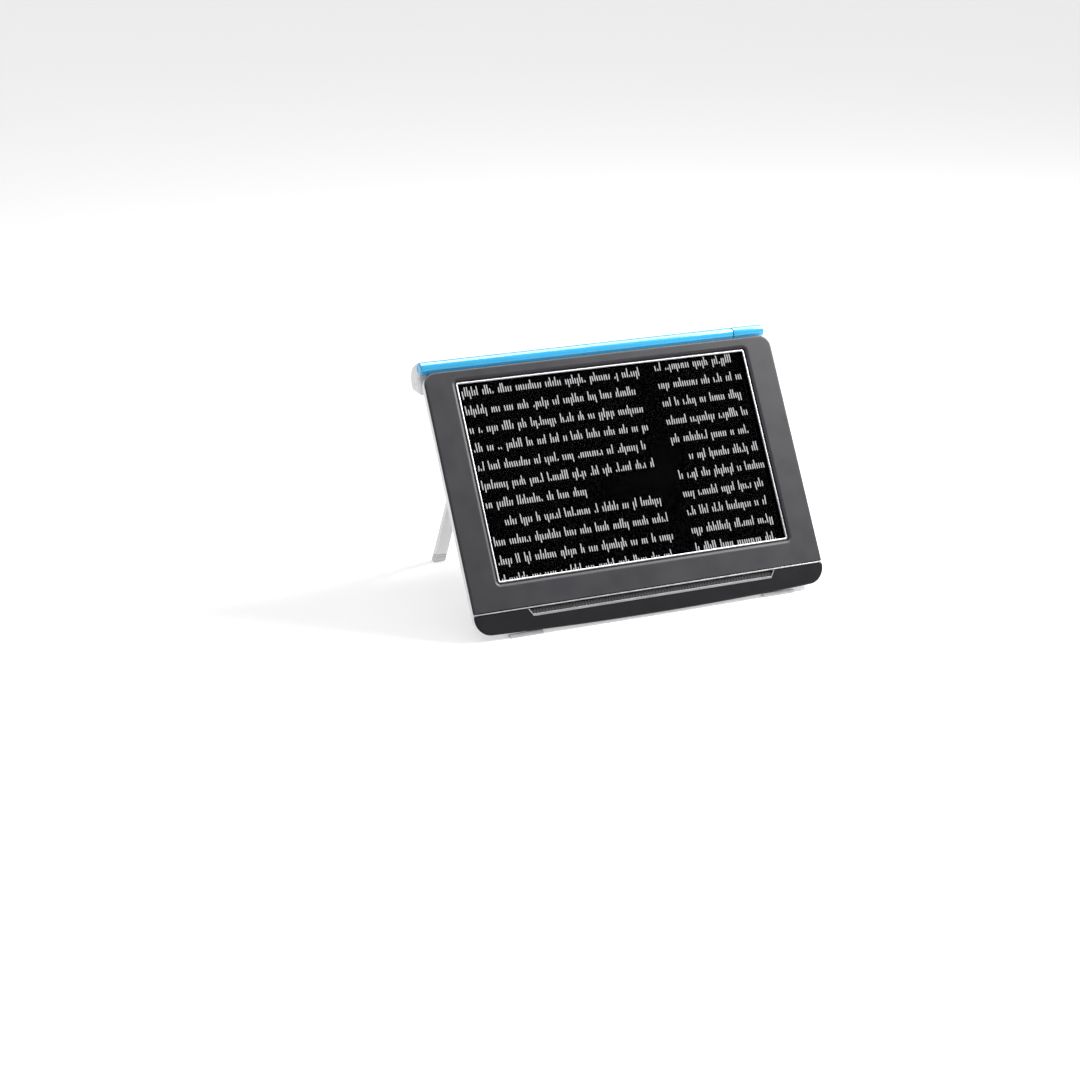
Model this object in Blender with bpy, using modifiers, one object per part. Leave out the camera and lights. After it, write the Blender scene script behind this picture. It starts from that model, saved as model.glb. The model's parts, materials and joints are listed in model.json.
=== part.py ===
"""Low vision magnifier: a tablet with a screen, a fold-out stand and a camera arm that swings out.

The tablet is drawn in its own frame: X across to the right, Y into the depth from the front face,
Z up the face from the middle of the screen. That frame leans back and stands on the floor, Z = 0.
"""

import math

import bmesh
import bpy
from mathutils import Vector

MM = 0.001

# Stance
LEAN = math.radians(30)
LEG_TILT = math.radians(28.2)
FEET_PROUD = 0.4 * MM

# Tablet outline
SCREEN_WIDTH = 218 * MM
SCREEN_HEIGHT = 137 * MM
SIDE_MARGIN = 22 * MM
TOP_MARGIN = 8.7 * MM
CHIN_HEIGHT = 32.5 * MM
CHIN_BOW = 2.8 * MM
TOP_CORNER = 8.5 * MM
LOW_CORNER = 11 * MM

# Tablet depths, counted from the front face
RIM_DEPTH = 1.6 * MM
BEZEL_DEPTH = 4.7 * MM
TRAY_DEPTH = 11.7 * MM
HUMP_DEPTH = 18.3 * MM
CHIN_SETBACK = 2.6 * MM
EDGE_PROFILE = ((0, 1.5 * MM), (0.4 * MM, 0.6 * MM), (1.3 * MM, 0))
WALL = 1.8 * MM
TRAY_SETBACK = 0.2 * MM
TRAY_ROUND = 3.4 * MM
BOARD = 1.2 * MM

# Screen stack
SCREEN_CORNER = 1.5 * MM
TRIM_CORNER = 1 * MM
LIP_CORNER = 4 * MM
LIP_INNER_CORNER = 1.7 * MM
LIP_WIDTH = 2.3 * MM
LIP_DEPTH = 0.9 * MM
TRIM_WIDTH = 1.2 * MM
TRIM_DEPTH = 1.3 * MM
GLASS_MARGIN = 2 * MM
GLASS_THICKNESS = 1 * MM
PANEL_THICKNESS = 3 * MM

# Boards and battery
FRAME_CORNER = 3 * MM
BOARD_ABOVE_BATTERY = 3 * MM
SPREADER_MARGIN = 4 * MM
SPREADER_SIDE = 10 * MM
BATTERY_ROUND = 1 * MM
DOOR_CORNER = 3.7 * MM
HUMP_EDGE = ((1.2 * MM, 1.3 * MM), (0.3 * MM, 2.1 * MM), (0, 3.2 * MM))
HUMP_FLOOR_INSET = 1.5 * MM
EYE_THICKNESS = 1 * MM

# Chin
LINE_HEIGHT = 1.2 * MM
LINE_BELOW_SCREEN = 18.4 * MM
SLOT_HEIGHT = 5.4 * MM
SLOT_HALF_WIDTH = 93 * MM
SLOT_SLANT = 3.4 * MM
SLOT_DEPTH = 2.6 * MM
SLOT_EDGE = 1.5 * MM
EDGE_PROUD = 0.2 * MM
GRILLE_THICKNESS = 0.7 * MM
LINE_FRONT = 0.2 * MM
SPEAKER_WIDTH = 34 * MM
SPEAKER_OFFSET = 58 * MM

# Hump on the back
HUMP_HALF_WIDTH = 69 * MM
HUMP_BELOW_STAND = 11 * MM
HUMP_ABOVE_EDGE = 19 * MM
HUMP_CORNER = 12 * MM
BATTERY_WIDTH = 104 * MM
BATTERY_HEIGHT = 66 * MM
BATTERY_MARGIN = 17 * MM
EYE_RADIUS = 6 * MM
EYE_X = -38 * MM
EYE_BELOW_HUMP_TOP = 13 * MM
REAR_LED_RADIUS = 2.6 * MM
REAR_LED_OFFSET = 14 * MM

# Side controls and sockets
BUTTON_HEIGHT = 11 * MM
BUTTON_DEPTH = 2.8 * MM
BUTTON_TRAVEL = 0.7 * MM
BUTTON_FLANGE = 1 * MM
BUTTON_STEM = 4 * MM
POWER_Z = 44 * MM
ZOOM_IN_Z = 20 * MM
ZOOM_OUT_Z = 4 * MM
SOCKET_LENGTH = 7 * MM
USB_HEIGHT = 9 * MM
USB_DEPTH = 3.3 * MM
USB_WALL = 0.35 * MM
USB_Z = -28 * MM
AUDIO_RADIUS = 2.3 * MM
AUDIO_BORE = 1.7 * MM
AUDIO_Z = -44 * MM

# Stand
CROSSBAR_RADIUS = 3.3 * MM
STAND_AXIS_DEPTH = 20 * MM
LEG_WIDTH = 9.2 * MM
LEG_THICKNESS = 5 * MM
LEG_OFFSET = 88 * MM
LEG_ROUND = 0.8 * MM
KNUCKLE_WALL = 2 * MM
TIP_LENGTH = 6 * MM
BRACKET_WIDTH = 12 * MM
BRACKET_OFFSET = 56 * MM
BRACKET_WALL = 2.2 * MM

# Camera arm
RAIL_RADIUS = 4.3 * MM
RAIL_DEPTH = 5 * MM
RAIL_SPLIT = 104.4 * MM
CAP_END_MARGIN = 2 * MM
RAIL_ROUNDING = 1.3 * MM
ARM_DEPTH = 14.4 * MM
ARM_ABOVE_RAIL = 1.4 * MM
ARM_RISE = 8.7 * MM
ARM_BELOW_TOP = 12.2 * MM
ARM_ROUND = 0.9 * MM
ARM_END_DROP = 1.5 * MM
COVER_RECESS = 0.2 * MM
ARM_END_MARGIN = 0.5 * MM
PIVOT_X = 121 * MM
PIN_RADIUS = 2.5 * MM
BRACKET_PLATE = 2.4 * MM
BRACKET_MARGIN = 4 * MM
BRACKET_BELOW_ARM = 2 * MM
BRACKET_SCREW_INSET = 3 * MM
WEB_MARGIN = 1.5 * MM
PIN_REST = 3 * MM
PIN_LENGTH = 25 * MM
BOSS_HEIGHT = 13 * MM
BOSS_SPACE = 8 * MM
WASHER_THICKNESS = 0.6 * MM
WINDOW_WIDTH = 9 * MM
WINDOW_DEPTH = 8 * MM
WINDOW_HALF_LENGTH = 96 * MM
WINDOW_THICKNESS = 1.2 * MM
CAMERA_RADIUS = 3.4 * MM
LED_SPACING = 26 * MM
LED_LENGTH = 12 * MM
LED_WIDTH = 5 * MM

# Fasteners and feet
SCREW_HEAD = 2.5 * MM
SCREW_HEAD_HEIGHT = 0.9 * MM
SCREW_SHANK = 1.2 * MM
SCREW_INSET = 17 * MM
SMALL_SCREW_HEAD = 1.7 * MM
FOOT_OFFSET = 95 * MM
FOOT_LENGTH = 24 * MM
FOOT_DEPTH = 4 * MM

# Clearances
GAP = 0.3 * MM
RUNNING = 0.05 * MM
THROUGH = 2 * MM
ROUND_SIDES = 32
CORNER_STEPS = 6

# Values that follow from the sizes above
HALF_WIDTH = SCREEN_WIDTH / 2 + SIDE_MARGIN
TOP = SCREEN_HEIGHT / 2 + TOP_MARGIN
LOW = -SCREEN_HEIGHT / 2 - CHIN_HEIGHT
LINE_TOP = -SCREEN_HEIGHT / 2 - LINE_BELOW_SCREEN
LINE_LOW = LINE_TOP - LINE_HEIGHT
CHIN_TOP = LINE_LOW - GAP
TRAY_FRONT = RIM_DEPTH + GAP
BEHIND_BEZEL = BEZEL_DEPTH + GAP
TRAY_INNER_BACK = TRAY_DEPTH - WALL
GLASS_FRONT = LIP_DEPTH + TRIM_DEPTH + GAP
PANEL_FRONT = GLASS_FRONT + GLASS_THICKNESS + GAP
FRAME_FRONT = PANEL_FRONT + PANEL_THICKNESS + GAP
INNER_FRONT = FRAME_FRONT + BOARD + GAP
CONTROL_DEPTH = (BEHIND_BEZEL + TRAY_INNER_BACK) / 2
ARM_LOW_Z = TOP - ARM_BELOW_TOP
BRACKET_RADIUS = CROSSBAR_RADIUS + RUNNING + BRACKET_WALL
STAND_Z = ARM_LOW_Z - BRACKET_RADIUS - 2 * GAP
HUMP_TOP = STAND_Z - HUMP_BELOW_STAND
HUMP_LOW = LOW + HUMP_ABOVE_EDGE
BATTERY_CENTRE = HUMP_LOW + BATTERY_MARGIN + BATTERY_HEIGHT / 2
EYE_Z = HUMP_TOP - EYE_BELOW_HUMP_TOP
RAIL_Z = TOP + GAP + RAIL_RADIUS
ARM_FRONT = TRAY_DEPTH + GAP
ARM_BACK = ARM_FRONT + ARM_DEPTH
ARM_WEB_FRONT = RAIL_DEPTH + RAIL_RADIUS + GAP
ARM_TOP = RAIL_Z + RAIL_RADIUS + ARM_ABOVE_RAIL
ARM_UNDERSIDE = math.atan2(ARM_RISE, ARM_DEPTH)
PIVOT_DEPTH = ARM_FRONT + ARM_DEPTH / 2
BOSS_RADIUS = ARM_DEPTH / 2 - GAP
BOSS_TOP = ARM_LOW_Z + ARM_DEPTH / 2 * math.tan(ARM_UNDERSIDE)
BOSS_LOW = BOSS_TOP - BOSS_HEIGHT
ROUND_CENTRE = (TRAY_FRONT, LOW - CHIN_BOW + TRAY_SETBACK + TRAY_ROUND)
ROUND_DROP = math.hypot(TRAY_ROUND * math.cos(LEAN), (TRAY_DEPTH - TRAY_FRONT) * math.sin(LEAN))
LOWEST = ROUND_DROP + math.sin(LEAN) * ROUND_CENTRE[0] - math.cos(LEAN) * ROUND_CENTRE[1]
FRAME_HEIGHT = LOWEST + FEET_PROUD
STAND_Y = math.sin(LEAN) * STAND_Z + math.cos(LEAN) * STAND_AXIS_DEPTH
STAND_HEIGHT = FRAME_HEIGHT + math.cos(LEAN) * STAND_Z - math.sin(LEAN) * STAND_AXIS_DEPTH
FRONT_Y = math.sin(LEAN) * (LOW - CHIN_BOW) + math.cos(LEAN) * CHIN_SETBACK
BACK_Y = STAND_Y + STAND_HEIGHT * math.tan(LEG_TILT) + LEG_THICKNESS / 2 / math.cos(LEG_TILT)
FRAME_Y = -(FRONT_Y + BACK_Y) / 2


def clear_scene():
    for obj in list(bpy.data.objects):
        bpy.data.objects.remove(obj, do_unlink=True)


def new_collection(name):
    collection = bpy.data.collections.new(name)
    bpy.context.scene.collection.children.link(collection)
    return collection


def new_material(name, colour, roughness, metallic=0.0, alpha=1.0):
    material = bpy.data.materials.new(name)
    material.use_nodes = True
    shader = material.node_tree.nodes["Principled BSDF"]
    shader.inputs["Base Color"].default_value = (*colour, 1)
    shader.inputs["Roughness"].default_value = roughness
    shader.inputs["Metallic"].default_value = metallic
    shader.inputs["Alpha"].default_value = alpha
    return material


def new_empty(name, parent, location, turn=0.0):
    """A frame to draw in, turned about its own X."""
    empty = bpy.data.objects.new(name, None)
    PARTS.objects.link(empty)
    empty.parent = parent
    empty.location = location
    empty.rotation_euler = (turn, 0, 0)
    return empty


def to_object(name, shape, parent, colour=None):
    """The finished bmesh as an object, a part if it has a colour and a cutter if it has none."""
    mesh = bpy.data.meshes.new(name)
    bmesh.ops.recalc_face_normals(shape, faces=shape.faces)
    shape.to_mesh(mesh)
    shape.free()
    mesh.shade_smooth()
    mesh.set_sharp_from_angle(angle=math.radians(35))
    obj = bpy.data.objects.new(name, mesh)
    obj.parent = parent
    if colour is None:
        CUTTERS.objects.link(obj)
        obj.hide_render = True
        obj.display_type = "WIRE"
    else:
        PARTS.objects.link(obj)
        mesh.materials.append(MATERIALS[colour])
    return obj


def rounded_outline(left, right, low, top, low_corner, top_corner, bow=0.0):
    """Points round a rectangle with round corners, whose lower edge hangs down by bow in the middle."""
    corners = (
        (right - top_corner, top - top_corner, top_corner, 0),
        (left + top_corner, top - top_corner, top_corner, 90),
        (left + low_corner, low + low_corner, low_corner, 180),
        (right - low_corner, low + low_corner, low_corner, 270),
    )
    middle = (left + right) / 2
    half = (right - left) / 2
    points = []
    for x, z, radius, start in corners:
        for step in range(CORNER_STEPS + 1):
            angle = math.radians(start + 90 * step / CORNER_STEPS)
            points.append((x + radius * math.cos(angle), z + radius * math.sin(angle)))
        if bow and start == 180:
            run = right - left - 2 * low_corner
            points += [(left + low_corner + run * part / 10, low) for part in range(1, 10)]
    bowed = []
    for x, z in points:
        sag = bow * (1 - ((x - middle) / half) ** 2) if z < (low + top) / 2 else 0
        bowed.append((x, z - sag))
    return bowed


def tablet_outline(inset):
    low_corner = max(LOW_CORNER - inset, MM)
    top_corner = max(TOP_CORNER - inset, MM)
    side = HALF_WIDTH - inset
    return rounded_outline(-side, side, LOW + inset, TOP - inset, low_corner, top_corner, CHIN_BOW)


def hump_outline(inset):
    side = HUMP_HALF_WIDTH - inset
    corner = HUMP_CORNER - inset
    return rounded_outline(-side, side, HUMP_LOW + inset, HUMP_TOP - inset, corner, corner)


def screen_outline(grow, corner=SCREEN_CORNER):
    side = SCREEN_WIDTH / 2 + grow
    height = SCREEN_HEIGHT / 2 + grow
    return rounded_outline(-side, side, -height, height, corner, corner)


def loft(name, rings, parent, colour=None):
    """A solid through outlines of equal point counts, each given with its depth."""
    shape = bmesh.new()
    loops = [[shape.verts.new((x, depth, z)) for x, z in points] for depth, points in rings]
    for first, second in zip(loops, loops[1:]):
        for index in range(len(first)):
            after = (index + 1) % len(first)
            shape.faces.new((first[index], first[after], second[after], second[index]))
    shape.faces.new(loops[0])
    shape.faces.new(loops[-1])
    return to_object(name, shape, parent, colour)


def plate(name, points, front, back, parent, colour=None):
    """A flat outline of the tablet's face, given a thickness in depth."""
    return loft(name, [(front, points), (back, points)], parent, colour)


def bar(name, section, left, right, parent, colour=None):
    """A section in depth and height, drawn out from left to right."""
    shape = bmesh.new()
    face = shape.faces.new([shape.verts.new((left, y, z)) for y, z in section])
    drawn = bmesh.ops.extrude_face_region(shape, geom=[face])["geom"]
    moved = [item for item in drawn if isinstance(item, bmesh.types.BMVert)]
    bmesh.ops.translate(shape, verts=moved, vec=(right - left, 0, 0))
    return to_object(name, shape, parent, colour)


def block(name, low, high, parent, colour=None):
    shape = bmesh.new()
    bmesh.ops.create_cube(shape, size=1)
    size = Vector(high) - Vector(low)
    bmesh.ops.scale(shape, verts=shape.verts, vec=size)
    bmesh.ops.translate(shape, verts=shape.verts, vec=Vector(low) + size / 2)
    return to_object(name, shape, parent, colour)


def rod(name, radius, start, end, parent, colour=None, end_radius=None):
    """A round bar between two points, or a cone if its end has another radius."""
    shape = bmesh.new()
    axis = Vector(end) - Vector(start)
    last = radius if end_radius is None else end_radius
    bmesh.ops.create_cone(
        shape, cap_ends=True, segments=ROUND_SIDES, radius1=radius, radius2=last, depth=axis.length
    )
    turn = Vector((0, 0, 1)).rotation_difference(axis).to_matrix()
    bmesh.ops.rotate(shape, verts=shape.verts, cent=(0, 0, 0), matrix=turn)
    bmesh.ops.translate(shape, verts=shape.verts, vec=(Vector(start) + Vector(end)) / 2)
    return to_object(name, shape, parent, colour)


def combine(obj, other, operation):
    modifier = obj.modifiers.new(f"{operation.lower()} {other.name}", "BOOLEAN")
    modifier.operation = operation
    modifier.object = other
    modifier.solver = "EXACT"


def cut(obj, *others):
    for other in others:
        combine(obj, other, "DIFFERENCE")


def join(obj, *others):
    for other in others:
        combine(obj, other, "UNION")


def bevel(obj, width, segments=2):
    modifier = obj.modifiers.new("rounded edges", "BEVEL")
    modifier.width = width
    modifier.segments = segments
    modifier.limit_method = "ANGLE"
    modifier.angle_limit = math.radians(35)


def hole_radius(shaft):
    """The corner radius of a hole whose flats clear a shaft by the running clearance."""
    return (shaft + RUNNING) / math.cos(math.pi / ROUND_SIDES)


def chin_front(z):
    """Depth of the chin's sloping face at a height."""
    return CHIN_SETBACK * (LINE_LOW - z) / (LINE_LOW - LOW + CHIN_BOW)


def tray_inset(depth):
    """How far the tray's side has drawn in at a depth: a quarter of an ellipse, round to the back."""
    part = (depth - TRAY_FRONT) / (TRAY_DEPTH - TRAY_FRONT)
    return TRAY_SETBACK + TRAY_ROUND * (1 - math.sqrt(max(0, 1 - part**2)))


def skirt_outline():
    """The outline of what the front pieces reach into the tray with, behind their rims."""
    return tablet_outline(WALL + tray_inset(BEZEL_DEPTH + WALL) + GAP)


def above_cutter(name, z, tablet):
    low = (-2 * HALF_WIDTH, -THROUGH, z)
    high = (2 * HALF_WIDTH, BEZEL_DEPTH + THROUGH, TOP + THROUGH)
    return block(name, low, high, tablet)


def below_cutter(name, z, tablet):
    low = (-2 * HALF_WIDTH, -THROUGH, 2 * LOW)
    return block(name, low, (2 * HALF_WIDTH, BEZEL_DEPTH + THROUGH, z), tablet)


def slope_cutter(name, behind, start, tablet):
    """What lies in front of a plane that follows the chin's slope, a distance behind it."""
    section = [
        (-THROUGH, start),
        (chin_front(start) + behind, start),
        (chin_front(2 * LOW) + behind, 2 * LOW),
        (-THROUGH, 2 * LOW),
    ]
    return bar(name, section, -2 * HALF_WIDTH, 2 * HALF_WIDTH, tablet)


def add_bezel(tablet):
    rim = [(w, tablet_outline(i)) for w, i in (*EDGE_PROFILE, (RIM_DEPTH, 0))]
    bezel = loft("front_bezel", rim, tablet, "charcoal")
    join(bezel, plate("bezel_skirt", skirt_outline(), RIM_DEPTH / 2, BEZEL_DEPTH, tablet))
    lip = (
        (-LIP_DEPTH, screen_outline(GAP + 2 * LIP_WIDTH, LIP_CORNER)),
        (LIP_DEPTH, screen_outline(GAP, LIP_INNER_CORNER)),
        (BEZEL_DEPTH + THROUGH, screen_outline(GAP, LIP_INNER_CORNER)),
    )
    pocket_size = screen_outline(GLASS_MARGIN + GAP)
    pocket_front = LIP_DEPTH + TRIM_DEPTH
    cut(
        bezel,
        loft("window_cutter", lip, tablet),
        plate("glass_pocket_cutter", pocket_size, pocket_front, BEZEL_DEPTH + THROUGH, tablet),
        below_cutter("bezel_end_cutter", LINE_TOP + GAP, tablet),
    )


def slot_outline(top, low, grow=0.0):
    """The trapezoid of the slot between two heights, narrower below."""
    points = []
    for z in (top, low):
        side = SLOT_HALF_WIDTH + grow - SLOT_SLANT * (CHIN_TOP - z) / SLOT_HEIGHT
        points += [(-side, z), (side, z)] if z == top else [(side, z), (-side, z)]
    return points


def add_chin(tablet):
    rim = bar(
        "chin_cover",
        [
            (chin_front(LINE_LOW), LINE_LOW),
            (chin_front(LINE_LOW) + RIM_DEPTH, LINE_LOW),
            (chin_front(2 * LOW) + RIM_DEPTH, 2 * LOW),
            (chin_front(2 * LOW), 2 * LOW),
        ],
        -HALF_WIDTH - THROUGH,
        HALF_WIDTH + THROUGH,
        tablet,
        "black",
    )
    outside = plate("chin_outside", tablet_outline(0), -THROUGH, 2 * BEZEL_DEPTH, tablet)
    skirt = plate("chin_skirt", skirt_outline(), 0, BEZEL_DEPTH, tablet)
    cut(skirt, slope_cutter("chin_skirt_slope_cutter", RIM_DEPTH / 2, TOP, tablet))
    combine(rim, outside, "INTERSECT")
    join(rim, skirt)
    slot_low = CHIN_TOP - SLOT_HEIGHT
    slot = slot_outline(CHIN_TOP + THROUGH, slot_low)
    cut(
        rim,
        above_cutter("chin_top_cutter", CHIN_TOP, tablet),
        plate("slot_cutter", slot, -THROUGH, SLOT_DEPTH, tablet),
    )

    line = plate("chin_line", tablet_outline(0), LINE_FRONT, RIM_DEPTH, tablet, "silver")
    join(line, plate("line_skirt", skirt_outline(), RIM_DEPTH / 2, BEZEL_DEPTH, tablet))
    cut(
        line,
        above_cutter("line_top_cutter", LINE_TOP, tablet),
        below_cutter("line_low_cutter", LINE_LOW, tablet),
    )

    edge_low = slot_low + GAP
    edge_top = edge_low + SLOT_EDGE
    outer = slot_outline(CHIN_TOP, edge_low, -GAP)
    inner = slot_outline(CHIN_TOP, edge_top, -GAP - SLOT_EDGE / 2)
    edge_points = [outer[3], outer[0], inner[0], inner[3], inner[2], inner[1], outer[1], outer[2]]
    edge_front = chin_front(edge_top) - EDGE_PROUD
    plate("slot_edge", edge_points, edge_front, SLOT_DEPTH - GAP, tablet, "silver")
    mesh_size = slot_outline(CHIN_TOP - GAP, edge_top + GAP, -2 * GAP - SLOT_EDGE / 2)
    mesh_front = SLOT_DEPTH - GAP - GRILLE_THICKNESS
    plate("speaker_grille", mesh_size, mesh_front, SLOT_DEPTH - GAP, tablet, "black")
    speaker_top = CHIN_TOP
    speaker_low = LOW + WALL + tray_inset(TRAY_DEPTH) + GAP
    for side, name in ((-1, "left"), (1, "right")):
        middle = side * SPEAKER_OFFSET
        block(
            f"speaker_{name}",
            (middle - SPEAKER_WIDTH / 2, BEHIND_BEZEL + GAP, speaker_low),
            (middle + SPEAKER_WIDTH / 2, TRAY_INNER_BACK - GAP, speaker_top),
            tablet,
            "dark plastic",
        )


def add_screen(tablet):
    trim = plate(
        "screen_trim", screen_outline(0), LIP_DEPTH, LIP_DEPTH + TRIM_DEPTH, tablet, "silver"
    )
    trim_hole = screen_outline(-TRIM_WIDTH, TRIM_CORNER)
    cut(trim, plate("trim_cutter", trim_hole, -THROUGH, BEZEL_DEPTH, tablet))
    glass = screen_outline(GLASS_MARGIN)
    plate("cover_glass", glass, GLASS_FRONT, GLASS_FRONT + GLASS_THICKNESS, tablet, "glass")
    plate("lcd_panel", glass, PANEL_FRONT, PANEL_FRONT + PANEL_THICKNESS, tablet, "black")


def button_wall():
    """How far out a button's flange may lie, just inside the tray's wall."""
    return HALF_WIDTH - tray_inset(CONTROL_DEPTH + BUTTON_DEPTH) - WALL - 2 * GAP


def button_board_out():
    return button_wall() - BUTTON_STEM - BUTTON_TRAVEL - GAP


def inner_side():
    """Half the width that the flat boards may take behind the screen."""
    return button_board_out() - BOARD - GAP


def add_inside(tablet):
    side = inner_side()
    low = CHIN_TOP + GAP
    top = TOP - WALL - tray_inset(CONTROL_DEPTH) - MM
    outline = rounded_outline(-side, side, low, top, FRAME_CORNER, FRAME_CORNER)
    plate("mid_frame", outline, FRAME_FRONT, FRAME_FRONT + BOARD, tablet, "aluminium")

    hump_inside = HUMP_HALF_WIDTH - 2 * WALL
    inner_top = HUMP_TOP - 2 * WALL
    board_low = BATTERY_CENTRE + BATTERY_HEIGHT / 2 + BOARD_ABOVE_BATTERY
    board_back = INNER_FRONT + BOARD
    block(
        "main_board",
        (-hump_inside, INNER_FRONT, board_low),
        (hump_inside, board_back, inner_top),
        tablet,
        "circuit board",
    )
    block(
        "heat_spreader",
        (0, board_back + GAP, board_low + SPREADER_MARGIN),
        (hump_inside - SPREADER_SIDE, board_back + GAP + BOARD, inner_top - SPREADER_MARGIN),
        tablet,
        "aluminium",
    )
    battery_top = BATTERY_CENTRE + BATTERY_HEIGHT / 2
    battery_low = BATTERY_CENTRE - BATTERY_HEIGHT / 2
    battery_back = HUMP_DEPTH - WALL - 2 * GAP
    battery = block(
        "battery_pack",
        (-BATTERY_WIDTH / 2, INNER_FRONT, battery_low),
        (BATTERY_WIDTH / 2, battery_back, battery_top),
        tablet,
        "dark plastic",
    )
    bevel(battery, BATTERY_ROUND)


def door_outline(grow):
    side = BATTERY_WIDTH / 2 + grow
    low = BATTERY_CENTRE - BATTERY_HEIGHT / 2 - grow
    top = BATTERY_CENTRE + BATTERY_HEIGHT / 2 + grow
    return rounded_outline(-side, side, low, top, DOOR_CORNER + grow, DOOR_CORNER + grow)


def tray_cutters(tablet):
    """The hollow of the tray and of its hump, and every hole through them."""
    inner = WALL + tray_inset(TRAY_FRONT)
    rings = []
    for part in range(5):
        depth = TRAY_FRONT + (TRAY_INNER_BACK - TRAY_FRONT) * part / 4
        follow = tray_inset(TRAY_FRONT + (TRAY_DEPTH - TRAY_FRONT) * part / 4)
        rings.append((depth, tablet_outline(WALL + follow)))
    rings.insert(0, (TRAY_FRONT - THROUGH, tablet_outline(inner)))
    yield loft("tray_hollow_cutter", rings, tablet)
    yield slope_cutter("tray_rim_cutter", RIM_DEPTH + GAP, LINE_LOW, tablet)
    hollow = ((TRAY_INNER_BACK - MM, WALL), (HUMP_DEPTH - WALL, WALL + HUMP_FLOOR_INSET))
    yield loft("hump_hollow_cutter", [(w, hump_outline(i)) for w, i in hollow], tablet)

    door_front = HUMP_DEPTH - WALL - MM
    yield plate("battery_door_cutter", door_outline(GAP), door_front, HUMP_DEPTH + THROUGH, tablet)
    back = HUMP_DEPTH + THROUGH
    for name, x, radius in (
        ("rear_eye_cutter", EYE_X, EYE_RADIUS + GAP),
        ("rear_led_cutter", EYE_X + REAR_LED_OFFSET, REAR_LED_RADIUS + GAP),
    ):
        yield rod(name, radius, (x, HUMP_DEPTH - 2 * WALL, EYE_Z), (x, back, EYE_Z), tablet)

    inside = HALF_WIDTH - SOCKET_LENGTH - 2 * WALL
    outside = HALF_WIDTH + THROUGH
    for name, z in BUTTONS:
        half = (BUTTON_DEPTH / 2 + GAP, BUTTON_HEIGHT / 2 + GAP)
        yield block(
            f"{name}_cutter",
            (inside, CONTROL_DEPTH - half[0], z - half[1]),
            (outside, CONTROL_DEPTH + half[0], z + half[1]),
            tablet,
        )
    half = (USB_DEPTH / 2 + GAP, USB_HEIGHT / 2 + GAP)
    yield block(
        "usb_cutter",
        (inside, CONTROL_DEPTH - half[0], USB_Z - half[1]),
        (outside, CONTROL_DEPTH + half[0], USB_Z + half[1]),
        tablet,
    )
    ends = ((inside, CONTROL_DEPTH, AUDIO_Z), (outside, CONTROL_DEPTH, AUDIO_Z))
    yield rod("audio_cutter", AUDIO_RADIUS + GAP, *ends, tablet)
    for index, (x, z) in enumerate(screw_places(), 1):
        sunk = TRAY_DEPTH - SCREW_HEAD_HEIGHT
        outer = TRAY_DEPTH + THROUGH
        low = TRAY_INNER_BACK - THROUGH
        yield rod(
            f"sink_cutter_{index}", SCREW_HEAD + GAP, (x, sunk, z), (x, outer, z), tablet
        )
        yield rod(f"bore_cutter_{index}", SCREW_SHANK + GAP, (x, low, z), (x, outer, z), tablet)


def screw_places():
    side = HALF_WIDTH - SCREW_INSET
    low = LOW + SCREW_INSET
    high = STAND_Z - SCREW_INSET
    return ((-side, low), (side, low), (-side, high), (side, high))


def add_tray(tablet):
    rings = []
    for part in (0, 0.3, 0.6, 0.8, 0.92, 1):
        depth = TRAY_FRONT + (TRAY_DEPTH - TRAY_FRONT) * part
        rings.append((depth, tablet_outline(tray_inset(depth))))
    tray = loft("rear_shell", rings, tablet, "white")
    hump = [(TRAY_DEPTH - MM, hump_outline(0))]
    hump += [(HUMP_DEPTH - before, hump_outline(inset)) for before, inset in HUMP_EDGE]
    join(tray, loft("hump_solid", hump, tablet))
    cut(tray, *tray_cutters(tablet))

    cover_front = HUMP_DEPTH - WALL + GAP
    plate("battery_cover", door_outline(0), cover_front, HUMP_DEPTH, tablet, "white")


def add_rear_camera(tablet):
    window_front = HUMP_DEPTH - EYE_THICKNESS
    eye = (EYE_X, EYE_Z)
    body_front = INNER_FRONT + BOARD + GAP
    rod(
        "rear_camera",
        EYE_RADIUS - MM,
        (eye[0], body_front, eye[1]),
        (eye[0], window_front - GAP, eye[1]),
        tablet,
        "dark plastic",
    )
    rod(
        "rear_camera_window",
        EYE_RADIUS,
        (eye[0], window_front, eye[1]),
        (eye[0], HUMP_DEPTH, eye[1]),
        tablet,
        "glass",
    )
    led_x = EYE_X + REAR_LED_OFFSET
    led_front = HUMP_DEPTH - WALL
    rod(
        "rear_led_window",
        REAR_LED_RADIUS,
        (led_x, led_front, EYE_Z),
        (led_x, HUMP_DEPTH, EYE_Z),
        tablet,
        "frosted",
    )


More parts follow.
